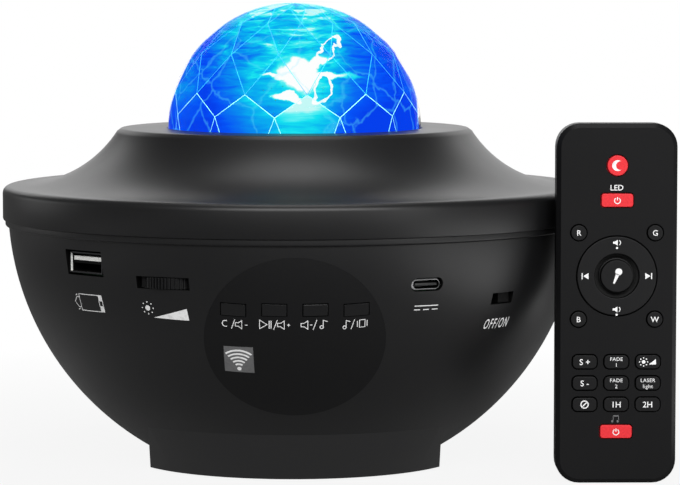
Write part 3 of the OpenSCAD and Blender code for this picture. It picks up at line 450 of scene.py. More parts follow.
@dataclass(frozen=True)
class FacetGlow(Finish):
    """The prismed inner wall of the dome, lit blue from inside: a white splash, cyan round it.

    The lamp's cone meets the front of the wall, so the middle is white and cyan, with the
    ripples of the turning disc above it, and the sides fall to a deep electric blue. All that
    follows is added up to one darkness, and the colours go by it.
    """

    # Spots of full light: centre and half sizes in millimetres, lean to +X in degrees, and
    # whether only their outline is lit
    spots: tuple[tuple[Sequence[float], Sequence[float], float, bool], ...] = (
        ((1.0, -31, 112.2), (5.6, 17, 5.0), 0, False),
        ((5.6, -31, 114.9), (4.2, 17, 1.7), -18, False),
        ((3.1, -31, 111.4), (12.0, 17, 0.9), 0, False),
        ((-1.6, -31, 105.7), (4.2, 17, 1.3), 12, False),
        ((9.7, -24, 118.8), (1.6, 17, 4.9), 32, True),
        ((7.7, -31, 107.9), (2.3, 17, 3.5), 20, True))
    # How sharply a lit outline stands out, and where a spot's light starts and ends
    outline: float = 6.5
    fade: Point = (0.8, 1.9)
    # Size and reach of the swirls that bend the spots and the webs
    swirl_mm: float = 5.0
    swirl_reach_mm: float = 2.7
    # Darkness from the left end to the right end
    half_mm: float = 36.0
    across: tuple[Point, ...] = (
        (0.0, 0.7), (0.08, 0.78), (0.15, 0.94), (0.235, 0.62), (0.318, 0.42), (0.4, 0.3),
        (0.483, 0.22), (0.565, 0.22), (0.649, 0.38), (0.732, 0.66), (0.814, 0.86), (0.9, 1.0),
        (1.0, 0.9))
    # Heights and the darkness added at them
    low: tuple[Point, Point] = ((106.5, 98.0), (-0.1, 0.2))
    # Long flat ripples, 1.5 mm apart and 9 mm long, strongest near the crown
    ripple_mm: float = 1.5
    ripple_flat: float = 0.16
    ripple_depth: tuple[Point, Point] = ((102.0, 123.0), (0.35, 1.2))
    # Each facet's own share, as a factor and a shift
    facet: Point = (0.26, -0.06)
    # Away from the splash only the brightest ripples come near white
    brightest: float = 0.14
    colours: tuple[tuple[float, str], ...] = (
        (0.08, "#fdfefe"), (0.14, "#c4f8f6"), (0.2, "#5cf2f4"), (0.29, "#16e2f0"),
        (0.4, "#0cbcf0"), (0.54, "#0992f0"), (0.68, "#0b70f2"), (0.84, "#0652f6"),
        (1.0, "#0640ec"))
    # Thin bright webs, as light focused by the ripples makes them
    web_mm: float = 15.0
    web_width: float = 0.035
    web_share: float = 0.26
    web_colour: str = "#58e8ff"

    @staticmethod
    def by_height(tree: Tree, z: Socket, heights: Point, values: Point) -> Socket:
        """Adds a map from two heights in millimetres to two values."""
        return ranged(tree, z, (heights[0] * MM, heights[1] * MM), values)

    def nearness(self, tree: Tree, place: Socket) -> Socket:
        """Adds the spots of full light.

        Args:
            tree: The node tree that takes them.
            place: The bent coordinates.

        Returns:
            How far a point lies from the nearest spot's middle, as a share of the spot's size.
        """
        near = None
        for centre, half, lean, hollow in self.spots:
            local = add_node(tree, "ShaderNodeMapping",
                             {"vector_type": "TEXTURE", "Location": [v * MM for v in centre],
                              "Rotation": (0.0, math.radians(lean), 0.0),
                              "Scale": [v * MM for v in half]}, {"Vector": place})
            reach = add_node(tree, "ShaderNodeVectorMath", {"operation": "LENGTH"},
                             {0: local.outputs["Vector"]}).outputs["Value"]
            if hollow:
                rim = maths(tree, "MULTIPLY_ADD", reach, self.outline, -self.outline)
                reach = maths(tree, "ABSOLUTE", rim)
            near = reach if near is None else maths(tree, "MINIMUM", near, reach)
        return near

    def darkness(self, tree: Tree, place: Socket) -> Socket:
        """Adds up the darkness away from the spots.

        Args:
            tree: The node tree that takes it.
            place: The object's coordinates.

        Returns:
            The darkness, from the sides, the foot, the ripples and the facets.
        """
        parts = add_node(tree, "ShaderNodeSeparateXYZ", links={0: place}).outputs
        half = self.half_mm * MM
        low = self.by_height(tree, parts["Z"], *self.low)
        ripple_depth = self.by_height(tree, parts["Z"], *self.ripple_depth)
        lying = add_node(tree, "ShaderNodeMapping",
                         {"Scale": (self.ripple_flat, self.ripple_flat, 1.0)}, {"Vector": place})
        waves = noise(tree, lying.outputs["Vector"], self.ripple_mm,
                      Detail=4.0, Roughness=0.6, Distortion=0.6)
        ripples = maths(tree, "MULTIPLY", maths(tree, "ADD", waves, -0.5), ripple_depth)
        own = add_node(tree, "ShaderNodeAttribute", {"attribute_name": "facet"}).outputs["Fac"]
        total = ramp(tree, ranged(tree, parts["X"], (-half, half)),
                     [(at, grey(value)) for at, value in self.across])
        for part in (low, ripples, maths(tree, "MULTIPLY_ADD", own, *self.facet)):
            total = maths(tree, "ADD", total, part)
        return maths(tree, "MAXIMUM", total, self.brightest)

    def material(self) -> bpy.types.Material:
        """Makes the material.

        Returns:
            A glowing wall whose colour goes from white to deep blue with its darkness.
        """
        material, tree, shader, place = new_material(self.name)
        reach = self.swirl_reach_mm * MM
        bent = add_node(tree, "ShaderNodeVectorMath",
                        {"operation": "MULTIPLY_ADD", 1: (2 * reach,) * 3, 2: (-reach,) * 3},
                        {0: noise(tree, place, self.swirl_mm, "Color", Detail=4.0)})
        moved = add_node(tree, "ShaderNodeVectorMath", {"operation": "ADD"},
                         {0: place, 1: bent.outputs["Vector"]}).outputs["Vector"]
        white = ranged(tree, self.nearness(tree, moved), self.fade)
        dark = maths(tree, "MINIMUM", self.darkness(tree, place), white)
        colour = ramp(tree, dark, [(at, linear(code)) for at, code in self.colours])
        webs = ramp(tree, cell_edges(tree, moved, self.web_mm),
                    [(0.0, grey(self.web_share)), (self.web_width, grey(0.0))])
        # The mixer's sockets 6 and 7 are its two colours, and its third output is theirs
        glow = add_node(tree, "ShaderNodeMix", {"data_type": "RGBA", 7: linear(self.web_colour)},
                        {0: webs, 6: colour}).outputs[2]
        wire(tree, shader, {"Base Color": grey(0.0), "Roughness": 0.5,
                            "Specular IOR Level": 0.0, "Emission Strength": 1.0},
             {"Emission Color": glow})
        return material


@dataclass(frozen=True)
class Glow(Finish):
    """A plain bright surface, such as the phosphor of an LED or a lit facet edge."""

    colour: str
    strength: float
    mottle_mm: float = 5.0
    dimmest: float = 0.45

    def material(self) -> bpy.types.Material:
        """Makes the material.

        Returns:
            A glowing material with slight mottling.
        """
        material, tree, shader, place = new_material(self.name)
        tint = linear(self.colour)
        shade = ramp(tree, noise(tree, place, self.mottle_mm, Detail=2.0),
                     [(0.3, toned(tint, self.dimmest)), (0.6, tint)])
        wire(tree, shader, {"Emission Strength": self.strength},
             {"Emission Color": shade, "Base Color": shade})
        return material


# ABS housing, moulded satin black: soft broad highlights, never a sharp one
CASE = MouldedPlastic("satin_black_abs", "#0f0f10", 0.4, gloss=0.42)
# The foot is from the same ABS with a slightly coarser grain and a livelier sheen
FOOT = MouldedPlastic("grained_black_abs", "#161617", 0.4, grain_mm=0.9, gloss=0.7)
# Polyester film over the panel, matt printed: darker and calmer than the case
FILM = MouldedPlastic("matt_black_polyester_film", "#0d0d0e", 0.5, relief=0.03, gloss=0.24)
# Button caps, polished a little by fingers
CAP = MouldedPlastic("polished_black_abs", "#0f0f10", 0.3, relief=0.06, gloss=0.4)
# The remote's front shell, finer grained than the projector
REMOTE_CASE = MouldedPlastic("fine_grained_black_abs", "#0f0f10", 0.42, grain_mm=0.5, gloss=0.17)
# Silicone keys with a hard coat, which dulls them
KEY = MouldedPlastic("coated_black_silicone", "#0f0f10", 0.48, grain_mm=0.5, relief=0.08,
                     gloss=0.2)
# The same keys in a bright red
RED_KEY = MouldedPlastic("coated_red_silicone", "#e03239", 0.42, grain_mm=0.5, relief=0.08,
                         gloss=0.25)
# The switch's knob: smooth, self-lubricating and nearly black
KNOB = MouldedPlastic("black_acetal", "#060606", 0.5, relief=0.05, gloss=0.16)
# Painted shade: a near-black for the walls of narrow gaps and windows, the keys' sides and the
# sockets' insides
# It stands for the shade there, since hardly any light gets in
PAINTED_SHADE_BLACK = MouldedPlastic("painted_shade_black_abs", "#060606", 0.6, relief=0.05, gloss=0.1)
# The socket's insulator: opaque white with a faint warm cast; on the shell's left inner wall it is a
# painted highlight
WHITE_LCP_AND_PAINTED_GLINT = MouldedPlastic("white_lcp_and_painted_glint", "#f4f4f1", 0.45)
# Gears: milky, slightly waxy
ACETAL = MouldedPlastic("natural_acetal", "#e6e3d8", 0.35)
# The lamp deck scatters stray light, so it is white
DIFFUSER = MouldedPlastic("white_abs", "#d8d8d6", 0.5)
# Chips and switch bodies
BLACK_RESIN = MouldedPlastic("black_epoxy_resin", "#1a1a1b", 0.5)
# The potentiometer's body
BLUE_RESIN = MouldedPlastic("blue_phenolic_resin", "#1d3f86", 0.45)
# Printed shrink film round the cells, glossy
CELL_JACKET = MouldedPlastic("green_shrink_jacket", "#2f7a4c", 0.25)
# The loudspeaker's cone: dull, with fibres standing out
PULP = MouldedPlastic("pressed_paper_pulp", "#1d1d1f", 0.9, grain_mm=0.6, relief=0.5)
# The inlet's rim: light grey painted on as the highlight of its metal shell, so that it stands out
# of the dark case
PAINTED_GLINT_RIM = MouldedPlastic("painted_highlight_grey_steel", "#c9cacb", 0.4, relief=0.02)
# The loudspeaker's basket
PAINTED = MouldedPlastic("black_painted_steel", "#232425", 0.4)
# Signs and words
WHITE_INK = ScreenInk("white_screen_ink", "#f2f2f2")
# The remote's sign for music, fainter than the others
GREY_INK = ScreenInk("grey_screen_ink", "#6d6d6e")
# The field behind the receiver's arcs, printed thinly
SOFT_INK = ScreenInk("thin_grey_screen_ink", "#666667")
# Contacts and the plug's lit edge
NICKEL = Metal("nickel_plated_steel", "#c9c6bf", 0.24)
# The plug's shell: nickel painted darker as painted shade, for the shadow it sits in
SHADE_PAINTED_NICKEL = Metal("shade_painted_nickel_steel", "#4a4a4c", 0.34)
# Screws
ZINC = Metal("zinc_plated_steel", "#c4c6ca", 0.3)
# Motor can and magnet cup
CAN = Metal("drawn_steel", "#a8aaad", 0.34)
# The laser's barrel
BRASS = Metal("turned_brass", "#c9a24f", 0.28)
# The anti-slip ring, which picks up dust
RUBBER = SoftRubber("black_thermoplastic_rubber", "#1c1c1c")
# Key mat and rocker
SILICONE = SoftRubber("black_silicone", "#0a0a0a")
# Main board and its neighbours, green mask over copper
BOARD = CircuitBoard("green_glass_epoxy", "#0f4d2a", "#2c7a46")
# The lamp's board carries its heat away and is printed white to waste no light
LED_BOARD = CircuitBoard("white_aluminium_core_board", "#e4e4e0", "#c9c9c2")
# Condenser lens, ripple disc and grating
CLEAR = ClearPlastic("polished_polycarbonate", "#eaf4ff", 4.0)
# The dome's outer face mirrors little against the strong light behind it
DOME_CLEAR = ClearPlastic("polished_acrylic", "#ffffff", 9.0, ior=1.03)
# The dome's inner wall, which catches the lamp's light
DOME_GLOW = FacetGlow("lit_acrylic_facets")
# Edges between the lower facets, which gather the light
FACET_EDGE = Glow("lit_facet_edges", "#8cecf6", 1.0)
# Edges further up, which gather less of it
FACET_SEAM = Glow("shaded_facet_edges", "#12a0ea", 1.0)
# Yellow-white coat of the LEDs
PHOSPHOR = Glow("warm_white_phosphor", "#ffe9a8", 1.5)

_made: dict[str, bpy.types.Material] = {}


def finish(kind: Finish) -> bpy.types.Material:
    """Returns a finish's material, made once.

    Args:
        kind: One of the finishes above.

    Returns:
        The material.
    """
    if kind.name not in _made:
        _made[kind.name] = kind.material()
    return _made[kind.name]


# ---- Modelling ----


def focus(*pieces: Obj) -> None:
    """Selects only these pieces and leaves edit mode.

    Args:
        pieces: The pieces, of which the first becomes the active one.
    """
    if bpy.context.object and bpy.context.object.mode != "OBJECT":
        bpy.ops.object.mode_set(mode="OBJECT")
    bpy.ops.object.select_all(action="DESELECT")
    for piece in pieces:
        piece.select_set(True)
    if pieces:
        bpy.context.view_layer.objects.active = pieces[0]


def edit(piece: Obj) -> None:
    """Opens a piece in edit mode with all of it selected.

    Args:
        piece: The piece.
    """
    focus(piece)
    bpy.ops.object.mode_set(mode="EDIT")
    bpy.context.tool_settings.mesh_select_mode = (True, False, False)
    bpy.ops.mesh.select_all(action="SELECT")


def done() -> None:
    """Leaves edit mode."""
    bpy.ops.object.mode_set(mode="OBJECT")


def clear_selection(piece: Obj) -> None:
    """Leaves a piece with nothing of its mesh selected.

    Args:
        piece: The piece.
    """
    edit(piece)
    bpy.ops.mesh.select_all(action="DESELECT")
    done()


def link(name: str, data: Any) -> Obj:
    """Puts a new object into the scene.

    Args:
        name: Its name.
        data: Its mesh or curve.

    Returns:
        The object.
    """
    piece = bpy.data.objects.new(name, data)
    bpy.context.scene.collection.objects.link(piece)
    return piece


def settle(piece: Obj) -> Obj:
    """Puts a piece's place, turn and size into its mesh.

    Args:
        piece: The piece.

    Returns:
        The same piece.
    """
    focus(piece)
    bpy.ops.object.transform_apply(location=True, rotation=True, scale=True)
    return piece


def put(piece: Obj, place: Matrix) -> Obj:
    """Moves a piece by a matrix and settles it there."""
    piece.matrix_world = place @ piece.matrix_world
    return settle(piece)


def apply(piece: Obj, kind: str, **settings: Any) -> Obj:
    """Adds a modifier and applies it.

    Args:
        piece: The piece to change.
        kind: Blender's name of the modifier's type.
        settings: Its settings.

    Returns:
        The same piece.
    """
    modifier = piece.modifiers.new(kind.lower(), kind)
    for key, value in settings.items():
        setattr(modifier, key, value)
    focus(piece)
    bpy.ops.object.modifier_apply(modifier=modifier.name)
    return piece


def cut(piece: Obj, *cutters: Obj, keep: bool = False) -> Obj:
    """Takes the cutters out of a piece, or keeps only what lies inside them.

    Args:
        piece: The piece to cut.
        cutters: Closed shapes that are used up.
        keep: True to keep what lies inside.

    Returns:
        The same piece.
    """
    for cutter in cutters:
        apply(piece, "BOOLEAN", operation="INTERSECT" if keep else "DIFFERENCE",
              solver="EXACT", object=cutter)
        bpy.data.objects.remove(cutter)
    return piece


def ease(piece: Obj, width: float, segments: int, degrees: float, **settings: Any) -> Obj:
    """Eases a piece's edges sharper than an angle, over a width in millimetres."""
    return apply(piece, "BEVEL", width=width * MM, segments=segments, limit_method="ANGLE",
                 angle_limit=math.radians(degrees), **settings)


def join(*pieces: Obj) -> Obj:
    """Joins pieces; each keeps its own material.

    Args:
        pieces: The pieces.

    Returns:
        The first piece, which holds them all.
    """
    focus(*pieces)
    if len(pieces) > 1:
        bpy.ops.object.join()
    return pieces[0]


def smooth(piece: Obj, degrees: float) -> Obj:
    """Shades a piece smooth where its faces meet at less than an angle.

    Args:
        piece: The piece.
        degrees: The angle.

    Returns:
        The same piece.
    """
    focus(piece)
    bpy.ops.object.shade_smooth_by_angle(angle=math.radians(degrees))
    return piece


def dress(piece: Obj, *kinds: Finish) -> Obj:
    """Gives a piece its finishes.

    Args:
        piece: The piece.
        kinds: The finishes, in the order of its material slots.

    Returns:
        The same piece.
    """
    piece.data.materials.clear()
    for kind in kinds:
        piece.data.materials.append(finish(kind))
    return piece


def paint(piece: Obj, index: int, chosen: Iterable[bpy.types.MeshPolygon]) -> None:
    """Gives faces of a piece one of its material slots."""
    for face in chosen:
        face.material_index = index


def lathe(name: str, profile: Sequence[Point], steps: int = 240, closed: bool = True) -> Obj:
    """Turns a profile round the Z axis, as on a lathe.

    Args:
        name: The piece's name.
        profile: Radius and height of each point, in millimetres.
        steps: Number of steps round the axis.
        closed: True where the last point joins the first one.

    Returns:
        The turned piece.
    """
    focus()
    bpy.ops.mesh.primitive_plane_add(size=MM)
    piece = bpy.context.object
    piece.name = name
    edit(piece)
    bpy.ops.mesh.merge(type="CENTER")
    points = list(profile) + ([profile[0]] if closed else [])
    bpy.ops.transform.translate(value=(points[0][0] * MM, 0.0, points[0][1] * MM))
    for here, there in zip(points, points[1:]):
        step = ((there[0] - here[0]) * MM, 0.0, (there[1] - here[1]) * MM)
        bpy.ops.mesh.extrude_region_move(TRANSFORM_OT_translate={"value": step})
    bpy.ops.mesh.select_all(action="SELECT")
    bpy.ops.mesh.remove_doubles(threshold=WELD_M)
    bpy.ops.mesh.spin(steps=steps, angle=2 * math.pi, center=(0.0, 0.0, 0.0),
                      axis=(0.0, 0.0, 1.0))
    bpy.ops.mesh.select_all(action="SELECT")
    bpy.ops.mesh.remove_doubles(threshold=WELD_M)
    bpy.ops.mesh.normals_make_consistent(inside=False)
    done()
    return piece


def block(name: str, low: Sequence[float], high: Sequence[float]) -> Obj:
    """Makes a block.

    Args:
        name: Its name.
        low: Its lowest corner, in millimetres.
        high: Its highest corner.

    Returns:
        The block.
    """
    focus()
    bpy.ops.mesh.primitive_cube_add(size=1.0)
    piece = bpy.context.object
    piece.name = name
    piece.scale = [(b - a) * MM for a, b in zip(low, high)]
    piece.location = [(a + b) / 2 * MM for a, b in zip(low, high)]
    return settle(piece)


def pill(name: str, half_w: float, half_h: float, low_y: float, high_y: float) -> Obj:
    """Makes a bar along Y with rounded sides.

    Args:
        name: Its name.
        half_w: Half its width, in millimetres.
        half_h: Half its height.
        low_y: Where it starts.
        high_y: Where it ends.

    Returns:
        The bar.
    """
    shape = block(name, (-half_w, low_y, -half_h), (half_w, high_y, half_h))
    clear_selection(shape)
    for edge in shape.data.edges:
        a, b = (shape.data.vertices[v].co for v in edge.vertices)
        edge.select = abs(a.y - b.y) > (high_y - low_y) / 2 * MM
    bpy.ops.object.mode_set(mode="EDIT")
    bpy.context.tool_settings.mesh_select_mode = (False, True, False)
    # Just short of half the height, so that the arcs don't meet in a point
    bpy.ops.mesh.bevel(offset=0.98 * half_h * MM, segments=10, affect="EDGES")
    done()
    return shape


def rod(name: str, radius: float, low: float, high: float, at: Point = (0.0, 0.0),
        vertices: int = 48) -> Obj:
    """Makes an upright round rod.

    Args:
        name: Its name.
        radius: Its radius, in millimetres.
        low: Height of its lower end.
        high: Height of its upper end.
        at: Where its axis stands.
        vertices: Number of steps round it.

    Returns:
        The rod.
    """
    focus()
    middle = (at[0] * MM, at[1] * MM, (low + high) / 2 * MM)
    bpy.ops.mesh.primitive_cylinder_add(vertices=vertices, radius=radius * MM,
                                        depth=(high - low) * MM, location=middle)
    piece = bpy.context.object
    piece.name = name
    return settle(piece)


def arc(x: float, y: float, radius: float, start: float, end: float,
        count: int = 12) -> list[Point]:
    """Returns points along an arc, angles in degrees."""
    turn = [math.radians(start + (end - start) * i / count) for i in range(count + 1)]
    return [(x + radius * math.cos(a), y + radius * math.sin(a)) for a in turn]


def cad_copy(frame: dict[str, Any], node: str, name: str, bevel: float = 0.0,
             smooth_deg: float = 32.0, segments: int = 2) -> Obj:
    """Takes a copy of a node's mesh, joins its loose triangles and eases its edges.

    Args:
        frame: The loaded frame.
        node: The node to copy.
        name: The new piece's name.
        bevel: Width of the eased edges, in millimetres.
        smooth_deg: Angle under which faces shade as one.
        segments: Steps across an eased edge.

    Returns:
        The new piece, which rides on the node's body and stands for the node.
    """
    source = frame["nodes"][node]
    piece = link(name, source.data.copy())
    edit(piece)
    bpy.ops.mesh.customdata_custom_splitnormals_clear()
    bpy.ops.mesh.remove_doubles(threshold=2e-6)
    bpy.ops.mesh.dissolve_limited(angle_limit=math.radians(0.4))
    done()
    if bevel:
        ease(piece, bevel, segments, 40, use_clamp_overlap=True)
    smooth(piece, smooth_deg)
    apply(piece, "WEIGHTED_NORMAL", keep_sharp=True, weight=80)
    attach(piece, body_of(source)[0])
    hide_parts(node)
    return piece


# ---- The shape of the bowl ----


@dataclass(frozen=True)
class BowlCurve:
    """The bowl's side: an arc turned round the projector's axis, in millimetres."""

    radius: float = 80.5
    out: float = 2.0
    height: float = 74.2

    def at(self, z: float, depth: float = 0.0) -> float:
        """Returns the bowl's radius at a height, at a depth under its surface."""
        return self.out + math.sqrt((self.radius - depth) ** 2 - (z - self.height) ** 2)

    def tilt(self, z: float) -> float:
        """Returns the angle by which the surface faces down at a height, in radians."""
        return math.asin((self.height - z) / self.radius)

    def fall(self, x: float, z: float) -> float:
        """Returns the step down that keeps a row level as the bowl turns away at its ends."""
        return x ** 2 / (2 * self.at(z)) * math.tan(self.tilt(z))

    def points(self, low: float, high: float, depth: float = 0.0, count: int = 60) -> list[Point]:
        """Returns points of the curve.

        Args:
            low: Height of the first point.
            high: Height of the last point.
            depth: How far they lie under the surface.
            count: Number of steps between them.

        Returns:
            Radius and height of each point.
        """
        radius = self.radius - depth
        start = math.degrees(math.asin((low - self.height) / radius))
        end = math.degrees(math.asin((high - self.height) / radius))
        return arc(self.out, self.height, radius, start, end, count)

    def place(self, at: Spot, tilted: bool = False) -> Matrix:
        """Returns the frame of a spot on the bowl: X across, -Y outwards, Z up.

        Args:
            at: The spot.
            tilted: True to lean with the surface.

        Returns:
            The spot's matrix.
        """
        degrees, z = at.value
        spot = Matrix.Rotation(math.radians(degrees), 4, "Z")
        spot @= Matrix.Translation((0.0, -self.at(z) * MM, z * MM))
        if tilted:
            spot @= Matrix.Rotation(self.tilt(z), 4, "X")
        return spot


CURVE = BowlCurve()


# ---- Printed signs ----


@dataclass
class Print:
    """A set of printed signs, drawn flat in millimetres and then laid on a surface."""

    name: str
    ink: ScreenInk
    shapes: list[Obj] = field(default_factory=list)
    # Height of the font's capitals against its size
    capital: float = 0.7
    # Longest edge that still follows the bowl well, and how often edges are halved to get there
    longest: float = 1.6
    halvings: int = 4

    def fill(self, outline: Sequence[Point]) -> None:
        """Adds a filled outline.

        Args:
            outline: Its corners.
        """
        curve = bpy.data.curves.new(self.name, "CURVE")
        curve.dimensions = "2D"
        curve.fill_mode = "BOTH"
        spline = curve.splines.new("POLY")
        spline.points.add(len(outline) - 1)
        for point, (x, y) in zip(spline.points, outline):
            point.co = (x * MM, y * MM, 0.0, 1.0)
        spline.use_cyclic_u = True
        focus(link(self.name, curve))
        bpy.ops.object.convert(target="MESH")
        self.shapes.append(bpy.context.object)

    def stroke(self, points: Sequence[Point], width: float, closed: bool = False) -> None:
        """Adds a line of a width through points.

        Args:
            points: The line's points.
            width: Its width.
            closed: True to join its ends.
        """
        line = [Vector(p) for p in points]
        pairs = list(zip(line, line[1:] + ([line[0]] if closed else [])))
        for a, b in pairs:
            along = (b - a).normalized()
            side = Vector((-along.y, along.x)) * (width / 2)
            reach = along * (width / 2 if closed or len(pairs) > 1 else 0.0)
            corners = [a - reach + side, a - reach - side, b + reach - side, b + reach + side]
            self.fill([tuple(c) for c in corners])

    def ring(self, x: float, y: float, radius: float, width: float, start: float = 0.0,
             end: float = 360.0) -> None:
        """Adds a ring or part of one.

        Args:
            x: Its middle across.
            y: Its middle upwards.
            radius: Radius of the line's middle.
            width: The line's width.
            start: Angle where it starts, in degrees.
            end: Angle where it ends.
        """
        count = max(6, int(abs(end - start) / 8))
        outer = arc(x, y, radius + width / 2, start, end, count)
        inner = arc(x, y, radius - width / 2, start, end, count)
        for i in range(count):
            self.fill([outer[i], outer[i + 1], inner[i + 1], inner[i]])

    def disc(self, x: float, y: float, radius: float) -> None:
        """Adds a filled disc with 28 corners."""
        self.fill(arc(x, y, radius, 0, 360 - 360 / 28, 27))

    def words(self, text: str, x: float, y: float, height: float, slant: float = 0.0,
              stretch: float = 1.0, weight: float = 0.012, gap: float = 1.0) -> None:
        """Adds lettering centred on a point.

        Args:
            text: What it says.
            x: Middle of the line.
            y: Middle of its capitals.
            height: Height of the capitals.
            slant: Lean of italic letters.
            stretch: Width of the letters against the font's own.
            weight: Growth of the strokes, as a share of the height.
            gap: Step from letter to letter against the font's own.
        """
        focus()
        bpy.ops.object.text_add()
        shape = bpy.context.object
        shape.data.body = text
        shape.data.size = height / self.capital * MM
        shape.data.shear = slant
        shape.data.space_character = gap
        shape.data.align_x = "CENTER"
        shape.data.resolution_u = 3
        shape.data.offset = weight * height * MM
        focus(shape)
        bpy.ops.object.convert(target="MESH")
        shape = bpy.context.object
        shape.scale = (stretch, 1.0, 1.0)
        shape.location = (x * MM, (y - height / 2) * MM, 0.0)
        self.shapes.append(settle(shape))

    def power(self, x: float, y: float, radius: float, width: float) -> None:
        """Adds a power sign: an open ring and a stroke in its gap."""
        self.ring(x, y, radius, width, 120, 420)
        self.stroke([(x, y + radius * 0.15), (x, y + radius * 1.25)], width)

    def speaker(self, x: float, y: float, size: float, width: float) -> None:
        """Adds a loudspeaker sign.

        Args:
            x: Its middle across.
            y: Its middle upwards.
            size: Its width and height.
            width: The line's width.
        """
        half = size / 2
        self.stroke([(x - half, y - half * 0.4), (x - half * 0.35, y - half * 0.4),
                     (x + half * 0.45, y - half), (x + half * 0.45, y + half),
                     (x - half * 0.35, y + half * 0.4), (x - half, y + half * 0.4)], width, True)

    def sun(self, x: float, y: float, radius: float, ray: float) -> None:
        """Adds a sun sign with eight dots for rays.

        Args:
            x: Its middle across.
            y: Its middle upwards.
            radius: The sun's radius.
            ray: Radius of a dot.
        """
        self.disc(x, y, radius)
        away = 2.2 * radius
        for i in range(8):
            a = math.radians(45 * i)
            self.disc(x + away * math.cos(a), y + away * math.sin(a), ray)

    def quaver(self, x: float, y: float, width: float) -> None:
        """Adds a single note."""
        self.ring(x, y - 0.75, 0.45, 0.22)
        self.stroke([(x + 0.4, y - 0.75), (x + 0.4, y + 1.25), (x + 1.5, y + 0.9)], width)

    def slash(self, x: float, y: float, width: float) -> None:
        """Adds the leaning stroke that parts two signs."""
        self.stroke([(x - 0.5, y - 1.45), (x + 0.5, y + 1.45)], width)

    def refine(self, sheet: Obj) -> None:
        """Halves the long edges of a sheet until it can follow a curved surface.

        Args:
            sheet: The flat print.
        """
        for _ in range(self.halvings):
            clear_selection(sheet)
            points = sheet.data.vertices
            long = [e for e in sheet.data.edges if
                    (points[e.vertices[0]].co - points[e.vertices[1]].co).length
                    > self.longest * MM]
            if not long:
                break
            for edge in long:
                edge.select = True
                for v in edge.vertices:
                    points[v].select = True
            bpy.ops.object.mode_set(mode="EDIT")
            bpy.context.tool_settings.mesh_select_mode = (False, True, False)
            bpy.ops.mesh.subdivide(number_cuts=1)
            done()

    def lay(self, place: Matrix, target: Obj | None = None, above: float = 0.03) -> Obj:
        """Lays the print in a frame whose -Y points outwards, and on a surface if one is given.

        Args:
            place: The frame.
            target: The surface to lie on.
            above: Gap to it, in millimetres.

        Returns:
            The laid print.
        """
        sheet = join(*self.shapes)
        sheet.name = self.name
        dress(sheet, self.ink)
        edit(sheet)
        bpy.ops.mesh.remove_doubles(threshold=WELD_M)
        done()
        put(sheet, Matrix.Rotation(math.pi / 2, 4, "X"))
        if target is None:
            return put(sheet, place @ Matrix.Translation((0.0, -above * MM, 0.0)))
        self.refine(sheet)
        put(sheet, place)
        apply(sheet, "SHRINKWRAP", target=target, wrap_method="NEAREST_SURFACEPOINT",
              wrap_mode="ABOVE_SURFACE", offset=above * MM)
        return sheet


# ---- The projector ----


